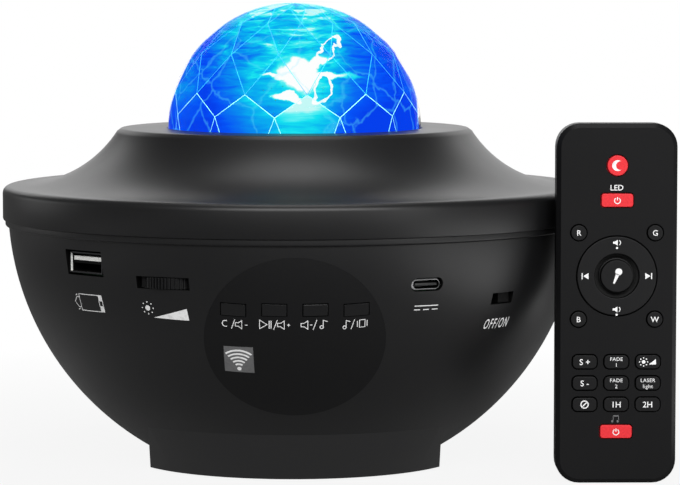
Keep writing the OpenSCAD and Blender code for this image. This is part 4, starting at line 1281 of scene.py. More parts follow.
@dataclass
class Bowl:
    """The bowl-shaped lower housing with the windows for its controls and sockets."""

    wall: float = 2.4
    floor_z: float = 4.6
    floor_t: float = 2.2
    lip_z: float = 68.2
    lip_h: float = 1.7
    lip_step: float = 1.0
    lip_round: float = 0.5
    nick: float = 0.15
    # The spigot that the cover is pushed over
    spigot_in: float = 80.0
    spigot_out: float = 81.35
    spigot_h: float = 3.2
    mouth_r: float = 23.55
    label_r: float = 24.7
    pocket: float = 0.42
    button_xs: tuple[float, ...] = (-16.5, -5.5, 5.5, 16.5)
    # Half width and half height of each window, or its two corners
    button_window: Point = (3.5, 1.9)
    wheel_window: Point = (8.0, 1.7)
    usb_a_window: tuple[Point, Point] = ((-7.3, -3.5), (7.1, 3.45))
    usb_c_window: Point = (4.85, 1.85)
    switch_window: Point = (4.3, 1.6)
    # How far a window's cutter stands out of the wall and reaches behind it
    out_y: float = -4.0
    in_y: float = 6.0
    button_in_y: float = 4.6
    # Depths between which a face is a window's side, which gets painted shade
    side_depths: Point = (0.1, 2.3)
    skin: Obj | None = None

    def build(self) -> Obj:
        """Turns the bowl and cuts its windows.

        Returns:
            The finished bowl.
        """
        part_z = self.lip_z + self.lip_h
        lip_r = CURVE.at(self.lip_z) + self.lip_step
        lip = arc(lip_r - self.lip_round, self.lip_z + self.lip_round, self.lip_round, -90, 0, 6)
        spigot_z = part_z + self.spigot_h
        inner_z = self.floor_z + self.floor_t
        profile = ([(self.mouth_r, self.floor_z)]
                   + CURVE.points(self.floor_z, self.lip_z - self.nick, 0.0, 90)
                   + [(CURVE.at(self.lip_z) + self.nick, self.lip_z)] + lip
                   + [(lip_r, part_z), (self.spigot_out, part_z), (self.spigot_out, spigot_z),
                      (self.spigot_in, spigot_z)]
                   + CURVE.points(inner_z, part_z, self.wall, 40)[::-1]
                   + [(self.mouth_r, inner_z)])
        self.skin = lathe("bowl_shell", profile, 288)
        cut(self.skin, join(*self.cutters()))
        cut(self.skin, self.label_cutter())
        dress(self.skin, CASE, PAINTED_SHADE_BLACK)
        # The windows' sides get painted shade, near-black, where little light reaches
        low, high = self.side_depths
        paint(self.skin, 1, (f for f in self.skin.data.polygons if low < self.depth(f) < high))
        smooth(self.skin, 28)
        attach(self.skin, Carrier.PROJECTOR.value)
        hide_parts("bowl_housing")
        return self.skin

    def depth(self, face: bpy.types.MeshPolygon) -> float:
        """Returns how deep a face of the wall lies under the bowl's outer surface."""
        x, y, z = (c / MM for c in face.center)
        return CURVE.at(z) - math.hypot(x, y) if z < self.lip_z else 0.0

    def cutters(self) -> list[Obj]:
        """Makes the shapes of the windows.

        Returns:
            The shapes, in their places.
        """
        shapes = []
        half_w, half_h = self.button_window
        for x in self.button_xs:
            z = -CURVE.fall(x, Spot.BUTTONS.value[1])
            shape = block("window", (x - half_w, self.out_y, z - half_h),
                          (x + half_w, self.button_in_y, z + half_h))
            shapes.append(put(shape, CURVE.place(Spot.BUTTONS, True)))
        x, z = self.wheel_window
        shapes.append(self.window(Spot.WHEEL, (-x, -z), (x, z)))
        shapes.append(self.window(Spot.USB_A, *self.usb_a_window))
        shape = pill("window", *self.usb_c_window, self.out_y, self.in_y)
        shapes.append(put(shape, CURVE.place(Spot.USB_C)))
        x, z = self.switch_window
        shapes.append(self.window(Spot.SWITCH, (-x, -z), (x, z)))
        return shapes

    def window(self, at: Spot, low: Point, high: Point) -> Obj:
        """Makes the cutter of one window between two corners."""
        shape = block("window", (low[0], self.out_y, low[1]), (high[0], self.in_y, high[1]))
        return put(shape, CURVE.place(at))

    def label_cutter(self) -> Obj:
        """Makes the shallow round pocket of the label.

        Returns:
            The pocket, in its place.
        """
        disc = rod("label_pocket", self.label_r, -3, 6, vertices=160)
        put(disc, CURVE.place(Spot.LABEL, True) @ Matrix.Rotation(math.pi / 2, 4, "X"))
        low, high, outside = 12, 70, 95
        floor = lathe("pocket_floor", CURVE.points(low, high, self.pocket, 90)
                      + [(outside, high), (outside, low)], 288)
        return cut(disc, floor, keep=True)


@dataclass
class Cover:
    """The top cover: an upright rim, a hollow flank and a flat top round the dome."""

    part_z: float = 69.95
    rim_r: float = 83.976
    rim_top_z: float = 79.5
    rim_round: float = 2.0
    flank_r: float = 34.0
    flank_in: float = 4.3
    top_z: float = 95.9
    wall: float = 2.4
    hole_r: float = 36.65
    hole_round: float = 0.4
    # Steps in and up from the rim's lower edge
    lower_edge: tuple[Point, ...] = ((0.45, 0.0), (0.12, 0.15), (0.0, 0.5))
    # The rounding between flank and top: its radius, its middle's step in, and how far under
    # the top the flank ends
    top_round: float = 1.2
    top_in: float = 1.05
    top_drop: float = 0.9

    def build(self) -> Obj:
        """Turns the cover.

        Returns:
            The finished cover.
        """
        flank_x = self.rim_r - self.flank_in
        flank_z = self.rim_top_z + self.flank_r
        edge_r = flank_x - math.sqrt(self.flank_r ** 2 - (flank_z - self.top_z) ** 2)
        end = 180 + math.degrees(math.asin((flank_z - self.top_z + self.top_drop) / self.flank_r))
        roof = self.top_z - self.wall
        inner_r = self.flank_r + self.wall
        inner_end = 180 + math.degrees(math.asin((flank_z - roof) / inner_r))
        inner = arc(flank_x, flank_z, inner_r, inner_end, 270, 40)
        profile = ([(self.rim_r - x, self.part_z + z) for x, z in self.lower_edge]
                   + arc(self.rim_r - self.rim_round, self.rim_top_z - self.rim_round,
                         self.rim_round, 0, 90, 10)
                   + arc(flank_x, flank_z, self.flank_r, 270, end, 60)
                   + arc(edge_r - self.top_in, self.top_z - self.top_round, self.top_round,
                         42, 90, 6)
                   + arc(self.hole_r + self.hole_round, self.top_z - self.hole_round,
                         self.hole_round, 90, 180, 4)
                   + [(self.hole_r, roof)] + inner
                   + [(self.rim_r - self.wall, self.rim_top_z - self.wall),
                      (self.rim_r - self.wall, self.part_z)])
        cover = lathe("top_cover_shell", profile, 288)
        dress(cover, CASE)
        smooth(cover, 28)
        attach(cover, Carrier.PROJECTOR.value)
        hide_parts("top_cover")
        return cover


@dataclass
class Dome:
    """The clear dome: polished outside, prismed inside into rows of facets."""

    radius: float = 36.4
    inner_r: float = 35.8
    centre_z: float = 95.4
    flange_z: float = 91.8
    flange_r: float = 39.8
    flange_t: float = 1.6
    count: int = 12
    # All of it is turned by this, in degrees
    turn: float = -9.1
    # Height angle of each row of corners, and its shift by a share of a facet
    rows: tuple[Point, ...] = ((7.6, 0.0), (18.0, 0.5), (38.0, 0.0), (59.0, 0.5), (76.0, 0.0))
    # Half the width of a lowest facet at its foot, in degrees
    foot_half: float = 5.3
    seam_mm: float = 0.085
    # Seams above this height angle are dimmer
    dim_lat: float = 19.0
    # The two pentagons in front, which catch the lamp's full light: sector and value
    front: tuple[tuple[int, float], ...] = ((0, -0.15), (-1, 0.2))

    def spot(self, lat: float, lon: float) -> tuple[float, float, float]:
        """Returns a point of the inner wall in metres.

        Args:
            lat: Height angle in degrees.
            lon: Direction from the front towards +X in degrees.

        Returns:
            The point.
        """
        a, b = math.radians(lat), math.radians(lon)
        return (self.inner_r * math.cos(a) * math.sin(b) * MM,
                -self.inner_r * math.cos(a) * math.cos(b) * MM,
                (self.centre_z + self.inner_r * math.sin(a)) * MM)

    def facets(self) -> Obj:
        """Makes the prismed inner wall from its rows of facet corners.

        Returns:
            The wall, its facets numbered in the attribute "facet".
        """
        n, step = self.count, 360 / self.count
        rings = [[self.spot(lat, self.turn + (k + shift) * step) for k in range(n)]
                 for lat, shift in self.rows]
        foot_lat = math.degrees(math.asin((self.flange_z - self.centre_z) / self.inner_r))
        foot = [self.spot(foot_lat, self.turn + k * step + side) for k in range(n)
                for side in (-self.foot_half, self.foot_half)]
        points = foot + [point for ring in rings for point in ring] + [self.spot(90, 0)]
        # Numbers of the first points of the rows: valley, apex, kite, upper and crown
        v, a, c, d, e = (2 * n + i * n for i in range(5))
        top = len(points) - 1
        faces = []
        for k in range(n):
            m, p = (k + 1) % n, (k - 1) % n
            faces.append((2 * k, 2 * k + 1, v + k))
            faces.append((2 * k + 1, 2 * m, v + m, a + k, v + k))
            faces.append((v + k, a + k, c + k, a + p))
            faces.append((a + k, c + m, d + k, c + k))
            faces.append((c + k, d + k, e + k, d + p))
            faces.append((d + k, e + m, top, e + k))
        mesh = bpy.data.meshes.new("dome_facets")
        mesh.from_pydata(points, [], faces)
        wall = link("dome_facets", mesh)
        edit(wall)
        bpy.ops.mesh.normals_make_consistent(inside=False)
        done()
        shade = wall.data.attributes.new("facet", "FLOAT", "FACE")
        kinds = len(faces) // n
        # Steps by the golden ratio spread the values evenly, also among facets of one kind
        for i, item in enumerate(shade.data):
            item.value = (i * 0.6180339 + 0.37 * (i % kinds)) % 1.0
        for sector, value in self.front:
            shade.data[kinds * (sector % n) + 1].value = value
        dress(wall, DOME_GLOW, FACET_EDGE, FACET_SEAM)
        ease(wall, self.seam_mm, 1, 4, material=1)
        dim_z = self.spot(self.dim_lat, 0)[2]
        paint(wall, 2, [f for f in wall.data.polygons
                        if f.material_index == 1 and f.center.z > dim_z])
        return wall

    def build(self) -> Obj:
        """Turns the clear shell and closes it with the lit inner wall.

        Returns:
            The finished dome.
        """
        base, top = self.flange_z, self.flange_z + self.flange_t
        shell = lathe("dome", [(self.flange_r, base), (self.flange_r, top), (self.radius, top)]
                      + arc(0, self.centre_z, self.radius, 0, 90, 48), 192, closed=False)
        dress(shell, DOME_CLEAR)
        smooth(shell, 40)
        dome = join(shell, self.facets())
        edit(dome)
        bpy.ops.mesh.select_all(action="DESELECT")
        bpy.ops.mesh.select_non_manifold(extend=False, use_wire=False, use_multi_face=False,
                                         use_non_contiguous=False, use_verts=False)
        bpy.ops.mesh.bridge_edge_loops()
        bpy.ops.mesh.select_all(action="SELECT")
        bpy.ops.mesh.normals_make_consistent(inside=False)
        done()
        paint(dome, 0, (f for f in dome.data.polygons if f.center.z < (base + 0.01) * MM))
        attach(dome, Carrier.PROJECTOR.value)
        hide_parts("dome_lens")
        return dome


@dataclass
class Pedestal:
    """The foot under the bowl, cut flat at both sides, with the grille in its floor."""

    foot_r: float = 47.5
    low_z: float = 0.6
    top_z: float = 14.0
    floor_z: float = 4.55
    # Where the bowl's seat starts, how far under the foot's top it ends, and its clearance
    seat_z: float = 4.7
    seat_drop: float = 0.4
    seat_gap: float = 0.06
    flat_x: float = 41.0
    edge_round: float = 0.45
    # Sound holes in rings round the middle
    hole_r: float = 1.3
    hole_top_z: float = 3.2
    hole_pitch: float = 7.0
    hole_rings: int = 3
    # Screw recesses
    recess_r: float = 3.05
    recess_top_z: float = 2.45
    recess_at: float = 32.5
    # Sound slots in each flat
    slot_count: int = 5
    slot_pitch: float = 10.0
    slot_w: float = 3.0
    slot_zs: Point = (3.3, 13.0)
    slot_reach: float = 4.0
    ring_r: float = 37.0
    ring_w: float = 2.4
    ring_top_z: float = 1.6
    ring_round: float = 0.35
    groove_gap: float = 0.05
    # Where the cutters start, under the foot
    below_z: float = -1.0

    def build(self) -> Obj:
        """Turns the foot, cuts its flats, holes, slots and ring groove.

        Returns:
            The finished foot.
        """
        seat = CURVE.points(self.seat_z, self.top_z - self.seat_drop, -self.seat_gap, 30)[::-1]
        profile = [(0.0, self.low_z), (self.foot_r, self.low_z),
                   (CURVE.at(self.top_z), self.top_z)]
        foot = lathe("foot_body", profile + seat + [(0.0, self.floor_z)], 240, closed=False)
        wide = 80
        cut(foot, block("flats", (-self.flat_x, -wide, -5), (self.flat_x, wide, 30)), keep=True)
        ease(foot, self.edge_round, 3, 45)
        holes = []
        for ring in range(1, self.hole_rings + 1):
            count, away = 6 * ring, self.hole_pitch * ring
            holes += self.round_cutters(count, away, self.hole_r, self.hole_top_z, 20)
        holes += self.round_cutters(4, self.recess_at, self.recess_r, self.recess_top_z, 48)
        half = self.ring_w / 2 + self.groove_gap
        inner, outer = self.ring_r - half, self.ring_r + half
        groove = lathe("groove", [(inner, self.below_z), (outer, self.below_z),
                                  (outer, self.ring_top_z), (inner, self.ring_top_z)], 120)
        cut(foot, join(*holes), groove, join(*self.slot_cutters()))
        dress(foot, FOOT)
        smooth(foot, 30)
        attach(foot, Carrier.PROJECTOR.value)
        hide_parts("pedestal")
        return foot

    def round_cutters(self, count: int, away: float, radius: float, top_z: float,
                      vertices: int) -> list[Obj]:
        """Makes the cutters of a ring of round holes.

        Args:
            count: Number of holes.
            away: The ring's radius.
            radius: A hole's radius.
            top_z: Height up to which a hole goes.
            vertices: Number of steps round a hole.

        Returns:
            The cutters.
        """
        turns = [2 * math.pi * i / count for i in range(count)]
        return [rod("hole", radius, self.below_z, top_z,
                    (away * math.cos(a), away * math.sin(a)), vertices) for a in turns]

    def slot_cutters(self) -> list[Obj]:
        """Makes the cutters of the slots in both flats.

        Returns:
            The cutters.
        """
        low, high = self.slot_zs
        cutters = []
        for side in Side:
            x = side.value * self.flat_x
            for i in range(self.slot_count):
                y = self.slot_pitch * (i - (self.slot_count - 1) / 2)
                cutters.append(block("slot", (x - self.slot_reach, y - self.slot_w / 2, low),
                                     (x + self.slot_reach, y + self.slot_w / 2, high)))
        return cutters

    def build_ring(self) -> Obj:
        """Turns the anti-slip ring with rounded lower edges.

        Returns:
            The ring.
        """
        inner, outer = self.ring_r - self.ring_w / 2, self.ring_r + self.ring_w / 2
        r = self.ring_round
        ring = lathe("anti_slip_band", arc(outer - r, r, r, -90, 0, 5)
                     + [(outer, self.ring_top_z), (inner, self.ring_top_z)]
                     + arc(inner + r, r, r, 180, 270, 5), 160)
        dress(ring, RUBBER)
        smooth(ring, 40)
        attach(ring, Carrier.PROJECTOR.value)
        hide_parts("anti_slip_ring")
        return ring


@dataclass
class ControlPanel:
    """The label film, the four buttons and the signs printed on the bowl."""

    frame: dict[str, Any]
    bowl: Bowl
    # Stroke widths of the signs on the film and on the bowl
    fine: float = 0.2
    plain: float = 0.24
    # How far the signs stand under the buttons' middles
    drop: float = 4.3

    def build(self) -> list[Obj]:
        """Builds the film, the buttons and the prints.

        Returns:
            The pieces.
        """
        film = cad_copy(self.frame, "control_label", "label_film_disc", smooth_deg=30)
        dress(film, FILM)
        pieces = [film]
        for i in range(1, 5):
            cap = cad_copy(self.frame, f"button_{i}", f"button_cap_{i}", bevel=0.3, segments=3)
            dress(cap, CAP)
            pieces.append(cap)
        pieces.append(self.film_print(film))
        pieces.append(self.arcs_print(film))
        pieces.append(self.bowl_print())
        return pieces

    def film_print(self, film: Obj) -> Obj:
        """Prints the signs under the four buttons.

        Args:
            film: The label film.

        Returns:
            The print.
        """
        ink = Print("film_signs", WHITE_INK)
        w = self.fine
        rows = [(x, -self.drop - CURVE.fall(x, Spot.BUTTONS.value[1]))
                for x in self.bowl.button_xs]
        # The light's moon and volume down
        x, y = rows[0]
        ink.ring(x - 2.6, y, 0.9, 0.26, 60, 300)
        ink.slash(x - 0.4, y, w)
        ink.speaker(x + 1.5, y, 2.5, w)
        ink.stroke([(x + 2.9, y), (x + 3.7, y)], w)
        # Play and pause, volume up
        x, y = rows[1]
        ink.stroke([(x - 4.0, y - 1.3), (x - 4.0, y + 1.3), (x - 2.0, y)], w, True)
        ink.stroke([(x - 1.4, y - 1.2), (x - 1.4, y + 1.2)], 0.26)
        ink.stroke([(x - 0.9, y - 1.2), (x - 0.9, y + 1.2)], 0.26)
        ink.slash(x + 0.3, y, w)
        ink.speaker(x + 2.1, y, 2.5, w)
        ink.stroke([(x + 3.4, y), (x + 4.2, y)], w)
        ink.stroke([(x + 3.8, y - 0.4), (x + 3.8, y + 0.4)], w)
        # Volume down and a tune
        x, y = rows[2]
        ink.speaker(x - 2.6, y, 2.5, w)
        ink.stroke([(x - 1.5, y), (x - 0.8, y)], w)
        ink.slash(x - 0.1, y, w)
        ink.quaver(x + 1.7, y, w)
        # A tune and a phone in motion
        x, y = rows[3]
        ink.quaver(x - 3.0, y, w)
        ink.slash(x - 0.7, y, w)
        ink.stroke([(x + 1.2, y - 1.1), (x + 1.2, y + 1.1), (x + 2.8, y + 1.1),
                    (x + 2.8, y - 1.1)], w, True)
        ink.stroke([(x + 0.6, y - 0.9), (x + 0.6, y + 0.9)], w)
        ink.stroke([(x + 3.4, y - 0.9), (x + 3.4, y + 0.9)], w)
        return self.laid(ink, Spot.BUTTONS, film)

    def arcs_print(self, film: Obj) -> Obj:
        """Prints the square with the receiver's arcs.

        Args:
            film: The label film.

        Returns:
            The print.
        """
        half_w, half_h, spread = 4.15, 4.2, 37
        back = Print("receiver_field", SOFT_INK)
        back.fill([(-half_w, -half_h), (half_w, -half_h), (half_w, half_h), (-half_w, half_h)])
        arcs = Print("receiver_arcs", WHITE_INK)
        arcs.disc(0, -3.0, 0.62)
        for i in range(5):
            arcs.ring(0, -3.1, 1.6 + 1.12 * i, 0.55, 90 - spread, 90 + spread)
        # Left of the middle, and leant against the bowl's turn so that the field stands upright
        aside, lean = Matrix.Translation((-15.35 * MM, 0.0, 0.0)), Matrix.Identity(4)
        lean[2][0] = 0.1
        both = join(self.laid(back, Spot.RECEIVER, film, 0.03, aside @ lean),
                    self.laid(arcs, Spot.RECEIVER, film, 0.05, aside @ lean))
        both.name = "receiver_sign"
        return both

    def bowl_print(self) -> Obj:
        """Prints the signs on the bowl: phone, sun and wedge, direct current, on and off.

        Returns:
            The print.
        """
        w = self.plain
        phone = Print("phone_sign", WHITE_INK)
        phone.stroke([(-3.9, -2.4), (-3.9, 2.4), (5.2, 2.4), (5.2, -2.4)], w, True)
        for low, high in ((-2.4, -0.7), (0.7, 2.4)):
            phone.fill([(3.9, low), (3.9, high), (5.2, high), (5.2, low)])
        phone.stroke([(3.9, -0.8), (3.9, 0.8)], w)
        phone.stroke([(-3.9, -1.5), (-5.0, -1.5), (-6.2, 0.0), (-5.0, 1.5), (-3.9, 1.5)], w)
        for low in (-2.3, 1.9):
            phone.stroke([(-5.4, low), (-4.6, low + 0.4)], w)
        sun = Print("dimmer_sign", WHITE_INK)
        sun.sun(-4.1, 1.2, 0.78, 0.2)
        sun.fill([(-2.6, -1.5), (8.0, -2.1), (7.8, 1.35)])
        inlet = Print("inlet_sign", WHITE_INK)
        inlet.stroke([(-3.6, 0.55), (3.6, 0.55)], w)
        for x in (-2.7, 0.0, 2.7):
            inlet.stroke([(x - 0.9, -0.55), (x + 0.9, -0.55)], w)
        power = Print("power_sign", WHITE_INK)
        power.words("OFF/ON", 0, 0, 2.95, slant=0.25, stretch=0.54, weight=0.015, gap=1.3)
        signs = join(*[self.laid(ink, at, self.bowl.skin) for ink, at in (
            (phone, Spot.PHONE_SIGN), (sun, Spot.DIMMER_SIGN), (inlet, Spot.INLET_SIGN),
            (power, Spot.POWER_SIGN))])
        signs.name = "bowl_signs"
        return signs

    def laid(self, ink: Print, at: Spot, target: Obj, above: float = 0.03,
             shift: Matrix | None = None) -> Obj:
        """Lays a print and lets it ride with the projector.

        Args:
            ink: The print.
            at: The spot that it goes to.
            target: The surface.
            above: Gap to it, in millimetres.
            shift: A move within the spot's frame.

        Returns:
            The laid print.
        """
        place = CURVE.place(at, True)
        if shift is not None:
            place @= shift
        sheet = ink.lay(place, target, above)
        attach(sheet, Carrier.PROJECTOR.value)
        return sheet


@dataclass
class Ports:
    """The USB sockets, the dimmer wheel and the slide switch."""

    frame: dict[str, Any]
    # The thumbwheel's ribs, and the share of a step that a groove takes
    rib_pitch: float = 1.03
    rib_depth: float = 0.5
    groove_share: float = 0.45
    # These bound the painted shade under the tongue and behind the lip, and the painted highlight on
    # the left wall
    # USB-A: where the tongue's upper side starts, where the lip ends, and the walls beside it
    tongue_z: float = 0.55
    lip_y: float = 1.6
    wall_x: float = -5.9
    wall_z: float = -2.2
    # Half width, half height, front and back of the room of its tongue and inner block
    block_room: tuple[float, ...] = (6.1, 2.35, 1.65, 14.0)
    # USB-C: half width, half height, front and back of shell, hollow and tongue
    shell: tuple[float, ...] = (4.45, 1.6, 0.3, 7.8)
    hollow: tuple[float, ...] = (4.0, 1.15, -1.0, 6.8)
    tongue: tuple[float, ...] = (3.35, 0.35, 0.9, 6.9)

    def build(self) -> list[Obj]:
        """Builds the sockets, the wheel and the knob.

        Returns:
            The pieces.
        """
        pieces = [self.usb_a(), self.usb_c(), self.thumbwheel()]
        knob = cad_copy(self.frame, "power_switch_knob", "power_switch_slider", bevel=0.2)
        dress(knob, KNOB)
        return pieces + [knob]

    def usb_a(self) -> Obj:
        """Finishes the USB-A socket: shell, lip, insulator, painted shade inside and a painted
        highlight on its left wall.

        Returns:
            The socket.
        """
        usb_a = cad_copy(self.frame, "usb_a_socket", "usb_a_shell", bevel=0.08)
        place = CURVE.place(Spot.USB_A)
        back = place.inverted()
        # Splits the tongue at its contact side and the shell's inner walls behind their lip
        for spot, normal in ((Vector((0.0, 0.0, self.tongue_z)), Vector((0.0, 0.0, 1.0))),
                             (Vector((0.0, self.lip_y, 0.0)), Vector((0.0, 1.0, 0.0)))):
            edit(usb_a)
            bpy.ops.mesh.bisect(plane_co=place @ (spot * MM), plane_no=place.to_3x3() @ normal)
            done()
        # The shell's nickel is painted darker as shade; the bright nickel is left for its floor
        dress(usb_a, SHADE_PAINTED_NICKEL, WHITE_LCP_AND_PAINTED_GLINT, PAINTED_SHADE_BLACK, NICKEL)
        # Painted shade under the tongue and behind the lip, and a painted highlight in white on the
        # left inner wall
        for face in usb_a.data.polygons:
            spot, normal = back @ face.center / MM, back.to_3x3() @ face.normal
            if self.in_tongue(spot):
                face.material_index = 1 if spot.z > self.tongue_z else 2
            elif spot.y > self.lip_y:
                face.material_index = 2
            elif spot.x < self.wall_x and normal.x > 0.9:
                face.material_index = 1
            elif spot.z < self.wall_z and normal.z > 0.9:
                face.material_index = 3
        return usb_a

    def usb_c(self) -> Obj:
        """Makes the USB-C socket: a rounded shell in painted shade with a painted highlight on its
        rim, and its tongue.

        Returns:
            The socket.
        """
        usb_c = pill("usb_c_shell", *self.shell)
        cut(usb_c, pill("hollow", *self.hollow))
        ease(usb_c, 0.1, 2, 60)
        # The front faces take the rim's painted highlight; the rest of the shell is painted shade
        dress(usb_c, PAINTED_SHADE_BLACK, PAINTED_GLINT_RIM)
        paint(usb_c, 1, (f for f in usb_c.data.polygons if f.normal.y < -0.3))
        half_w, half_h, front, back = self.tongue
        tongue = block("tongue", (-half_w, front, -half_h), (half_w, back, half_h))
        apply(tongue, "BEVEL", width=0.12 * MM, segments=2)
        dress(tongue, BLACK_RESIN)
        usb_c = put(smooth(join(usb_c, tongue), 30), CURVE.place(Spot.USB_C))
        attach(usb_c, Carrier.PROJECTOR.value)
        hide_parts("usb_c_socket")
        return usb_c

    def thumbwheel(self) -> Obj:
        """Shapes the dimmer wheel with upright ribs round its edge.

        Returns:
            The wheel.
        """
        low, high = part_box("dimmer_wheel")
        axis = (Vector(low) + Vector(high)) / 2
        radius = (high[0] - low[0]) / 2 / MM
        count = round(2 * math.pi * radius / self.rib_pitch)
        wheel = rod("dimmer_thumbwheel", radius, low[2] / MM, high[2] / MM,
                    (axis.x / MM, axis.y / MM), 6 * count)
        clear_selection(wheel)
        for point in wheel.data.vertices:
            turn = math.atan2(point.co.y - axis.y, point.co.x - axis.x) / (2 * math.pi)
            point.select = (turn * count) % 1.0 < self.groove_share
        bpy.ops.object.mode_set(mode="EDIT")
        share = 1 - self.rib_depth / radius
        bpy.ops.transform.resize(value=(share, share, 1.0), center_override=axis)
        done()
        dress(wheel, CAP)
        smooth(wheel, 20)
        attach(wheel, "dimmer_wheel")
        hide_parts("dimmer_wheel")
        return wheel

    def in_tongue(self, spot: Vector) -> bool:
        """Tells whether a point of the socket, in millimetres, is on its tongue or inner block."""
        half_w, half_h, front, back = self.block_room
        return abs(spot.x) < half_w and abs(spot.z) < half_h and front < spot.y < back


# ---- The remote control ----


@dataclass
class Remote:
    """The remote control: two shells, the battery door and the printed and moving keys."""

    frame: dict[str, Any]
    # Where its middle stands, how far its face is in front of the projector's axis
    x: float = 88.442
    front: float = 52.0
    # How far the keys and the direction ring stand out of the face
    proud: float = 0.5
    ring_proud: float = 0.25
    # Y of a normal above which a key's face doesn't look to the front
    facing: float = -0.93
    # Middles of the direction signs beside and above the ring's middle
    sign_x: float = 8.7
    sign_z: float = 9.2

    def place(self, dx: float, z: float, proud: float) -> Matrix:
        """Returns the frame of a spot on the remote's face, a step in front of it."""
        return Matrix.Translation(((self.x + dx) * MM, (-self.front - proud) * MM, z * MM))

    def build(self) -> list[Obj]:
        """Builds the shells, the keys and the prints.

        Returns:
            The pieces.
        """
        pieces = []
        for node, name in (("remote_front_shell", "remote_face"),
                           ("remote_back_shell", "remote_back"),
                           ("battery_door", "battery_cover")):
            piece = cad_copy(self.frame, node, name, bevel=0.22, smooth_deg=34)
            dress(piece, REMOTE_CASE if node == "remote_front_shell" else CASE)
            pieces.append(piece)
        pieces += self.red_keys() + self.colour_keys() + self.pad() + self.small_keys()
        words = Print("remote_words", WHITE_INK)
        words.words("LED", -0.15, 81.8, 1.5)
        label = words.lay(self.place(0, 0, 0))
        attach(label, Carrier.REMOTE.value)
        quiet = Print("music_sign", GREY_INK)
        self.note(quiet, 0, 18.0, 0.75)
        sign = quiet.lay(self.place(0, 0, 0))
        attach(sign, Carrier.REMOTE.value)
        return pieces + [label, sign]

    @staticmethod
    def note(ink: Print, x: float, y: float, size: float) -> None:
        """Draws a pair of notes.

        Args:
            ink: The print that takes it.
            x: Its middle across.
            y: Its middle upwards.
            size: Half its height.
        """
        for side in Side:
            stem_x = x + side.value * size
            ink.disc(stem_x - 0.3 * size, y - size, 0.42 * size)
            ink.stroke([(stem_x, y - size), (stem_x, y + size)], 0.2 * size)
        ink.stroke([(x - size, y + size), (x + size, y + size)], 0.45 * size)

    def key(self, node: str, name: str, kind: Finish, ink: Print, proud: float,
            bevel: float = 0.25) -> Obj:
        """Makes one key with its sign printed on it.

        Args:
            node: The key's node.
            name: The new piece's name.
            kind: Its finish.
            ink: The sign, drawn in the remote's face.
            proud: How far the key stands out of the face.
            bevel: Width of its eased edge.

        Returns:
            The key.
        """
        cap = cad_copy(self.frame, node, name, bevel=bevel, segments=3)
        # Dark keys get painted shade on their sides and eased edges, which widens the dark outline
        # round them
        dress(cap, kind, kind if kind is RED_KEY else PAINTED_SHADE_BLACK)
        paint(cap, 1, (f for f in cap.data.polygons if f.normal.y > self.facing))
        cap = join(cap, ink.lay(self.place(0, 0, proud)))
        return cap

    def red_keys(self) -> list[Obj]:
        """Makes the three red keys.

        Returns:
            The keys.
        """
        keys = []
        moon = Print("night_sign", WHITE_INK)
        x, z = self.middle("key_night")
        moon.fill(arc(x, z, 1.5, 55, 305, 22) + arc(x + 0.75, z, 1.2, 285, 75, 18))
        keys.append(self.key("key_night", "night_key", RED_KEY, moon, self.proud))
        for node, name in (("key_light", "light_power_key"), ("key_music", "music_power_key")):
            sign = Print("power_mark", WHITE_INK)
            x, z = self.middle(node)
            sign.power(x, z - 0.1, 0.8, 0.24)
            keys.append(self.key(node, name, RED_KEY, sign, self.proud))
        return keys

    def middle(self, node: str) -> Point:
        """Returns the middle of a key on the remote's face, in millimetres."""
        low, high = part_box(node)
        return (low[0] + high[0]) / 2 / MM - self.x, (low[2] + high[2]) / 2 / MM

    def colour_keys(self) -> list[Obj]:
        """Makes the keys for red, green, blue and white light.

        Returns:
            The keys.
        """
        keys = []
        for node, letter in (("key_red", "R"), ("key_green", "G"), ("key_blue", "B"),
                             ("key_white", "W")):
            sign = Print("letter", WHITE_INK)
            sign.words(letter, *self.middle(node), 1.5)
            keys.append(self.key(node, f"colour_key_{letter}", KEY, sign, self.proud))
        return keys

    def pad(self) -> list[Obj]:
        """Makes the direction ring and its centre key.

        Returns:
            The ring and the key.
        """
        z = self.middle("key_centre")[1]
        signs = Print("direction_signs", WHITE_INK)
        for side in Side:
            self.skip_sign(signs, side.value, z)
        for y in (z - self.sign_z, z + self.sign_z):
            signs.fill([(-1.1, y - 0.3), (-0.6, y - 0.3), (0.2, y - 0.8), (0.2, y + 0.8),
                        (-0.6, y + 0.3), (-1.1, y + 0.3)])
            signs.ring(0.2, y, 0.75, 0.22, -55, 55)
            signs.disc(0.0, y - 1.45, 0.3)
        ring = self.key("nav_ring", "direction_ring", KEY, signs, self.ring_proud, 0.3)
        mike = self.microphone(z)
        return [ring, self.key("key_centre", "centre_key_cap", KEY, mike, self.proud)]

    def skip_sign(self, ink: Print, way: int, z: float) -> None:
        """Draws a triangle and a bar beside the ring's middle.

        Args:
            ink: The print that takes it.
            way: 1 for the right side, -1 for the left one.
            z: Height of the ring's middle.
        """
        x, half = way * self.sign_x, 0.85
        tail, tip, bar = x - way * 0.9, x + way * 0.55, x + way * 0.85
        ink.fill([(tail, z - half), (tip, z), (tail, z + half)])
        ink.stroke([(bar, z - half), (bar, z + half)], 0.28)

    @staticmethod
    def microphone(z: float) -> Print:
        """Draws the leaning microphone of the centre key.

        Args:
            z: Height of the key's middle.

        Returns:
            The print.
        """
        ink = Print("voice_sign", WHITE_INK)
        lean = Vector((0.42, 1.0)).normalized()
        side = Vector((lean.y, -lean.x))
        # Steps along the grip and beside it
        corners = ((-2.2, 0.22), (0.6, 0.5), (0.6, -0.5), (-2.2, -0.22))
        grip = [lean * along + side * beside for along, beside in corners]
        ink.fill([(p.x, p.y + z) for p in grip])
        ink.disc(lean.x * 1.3, z + lean.y * 1.3, 0.95)
        return ink

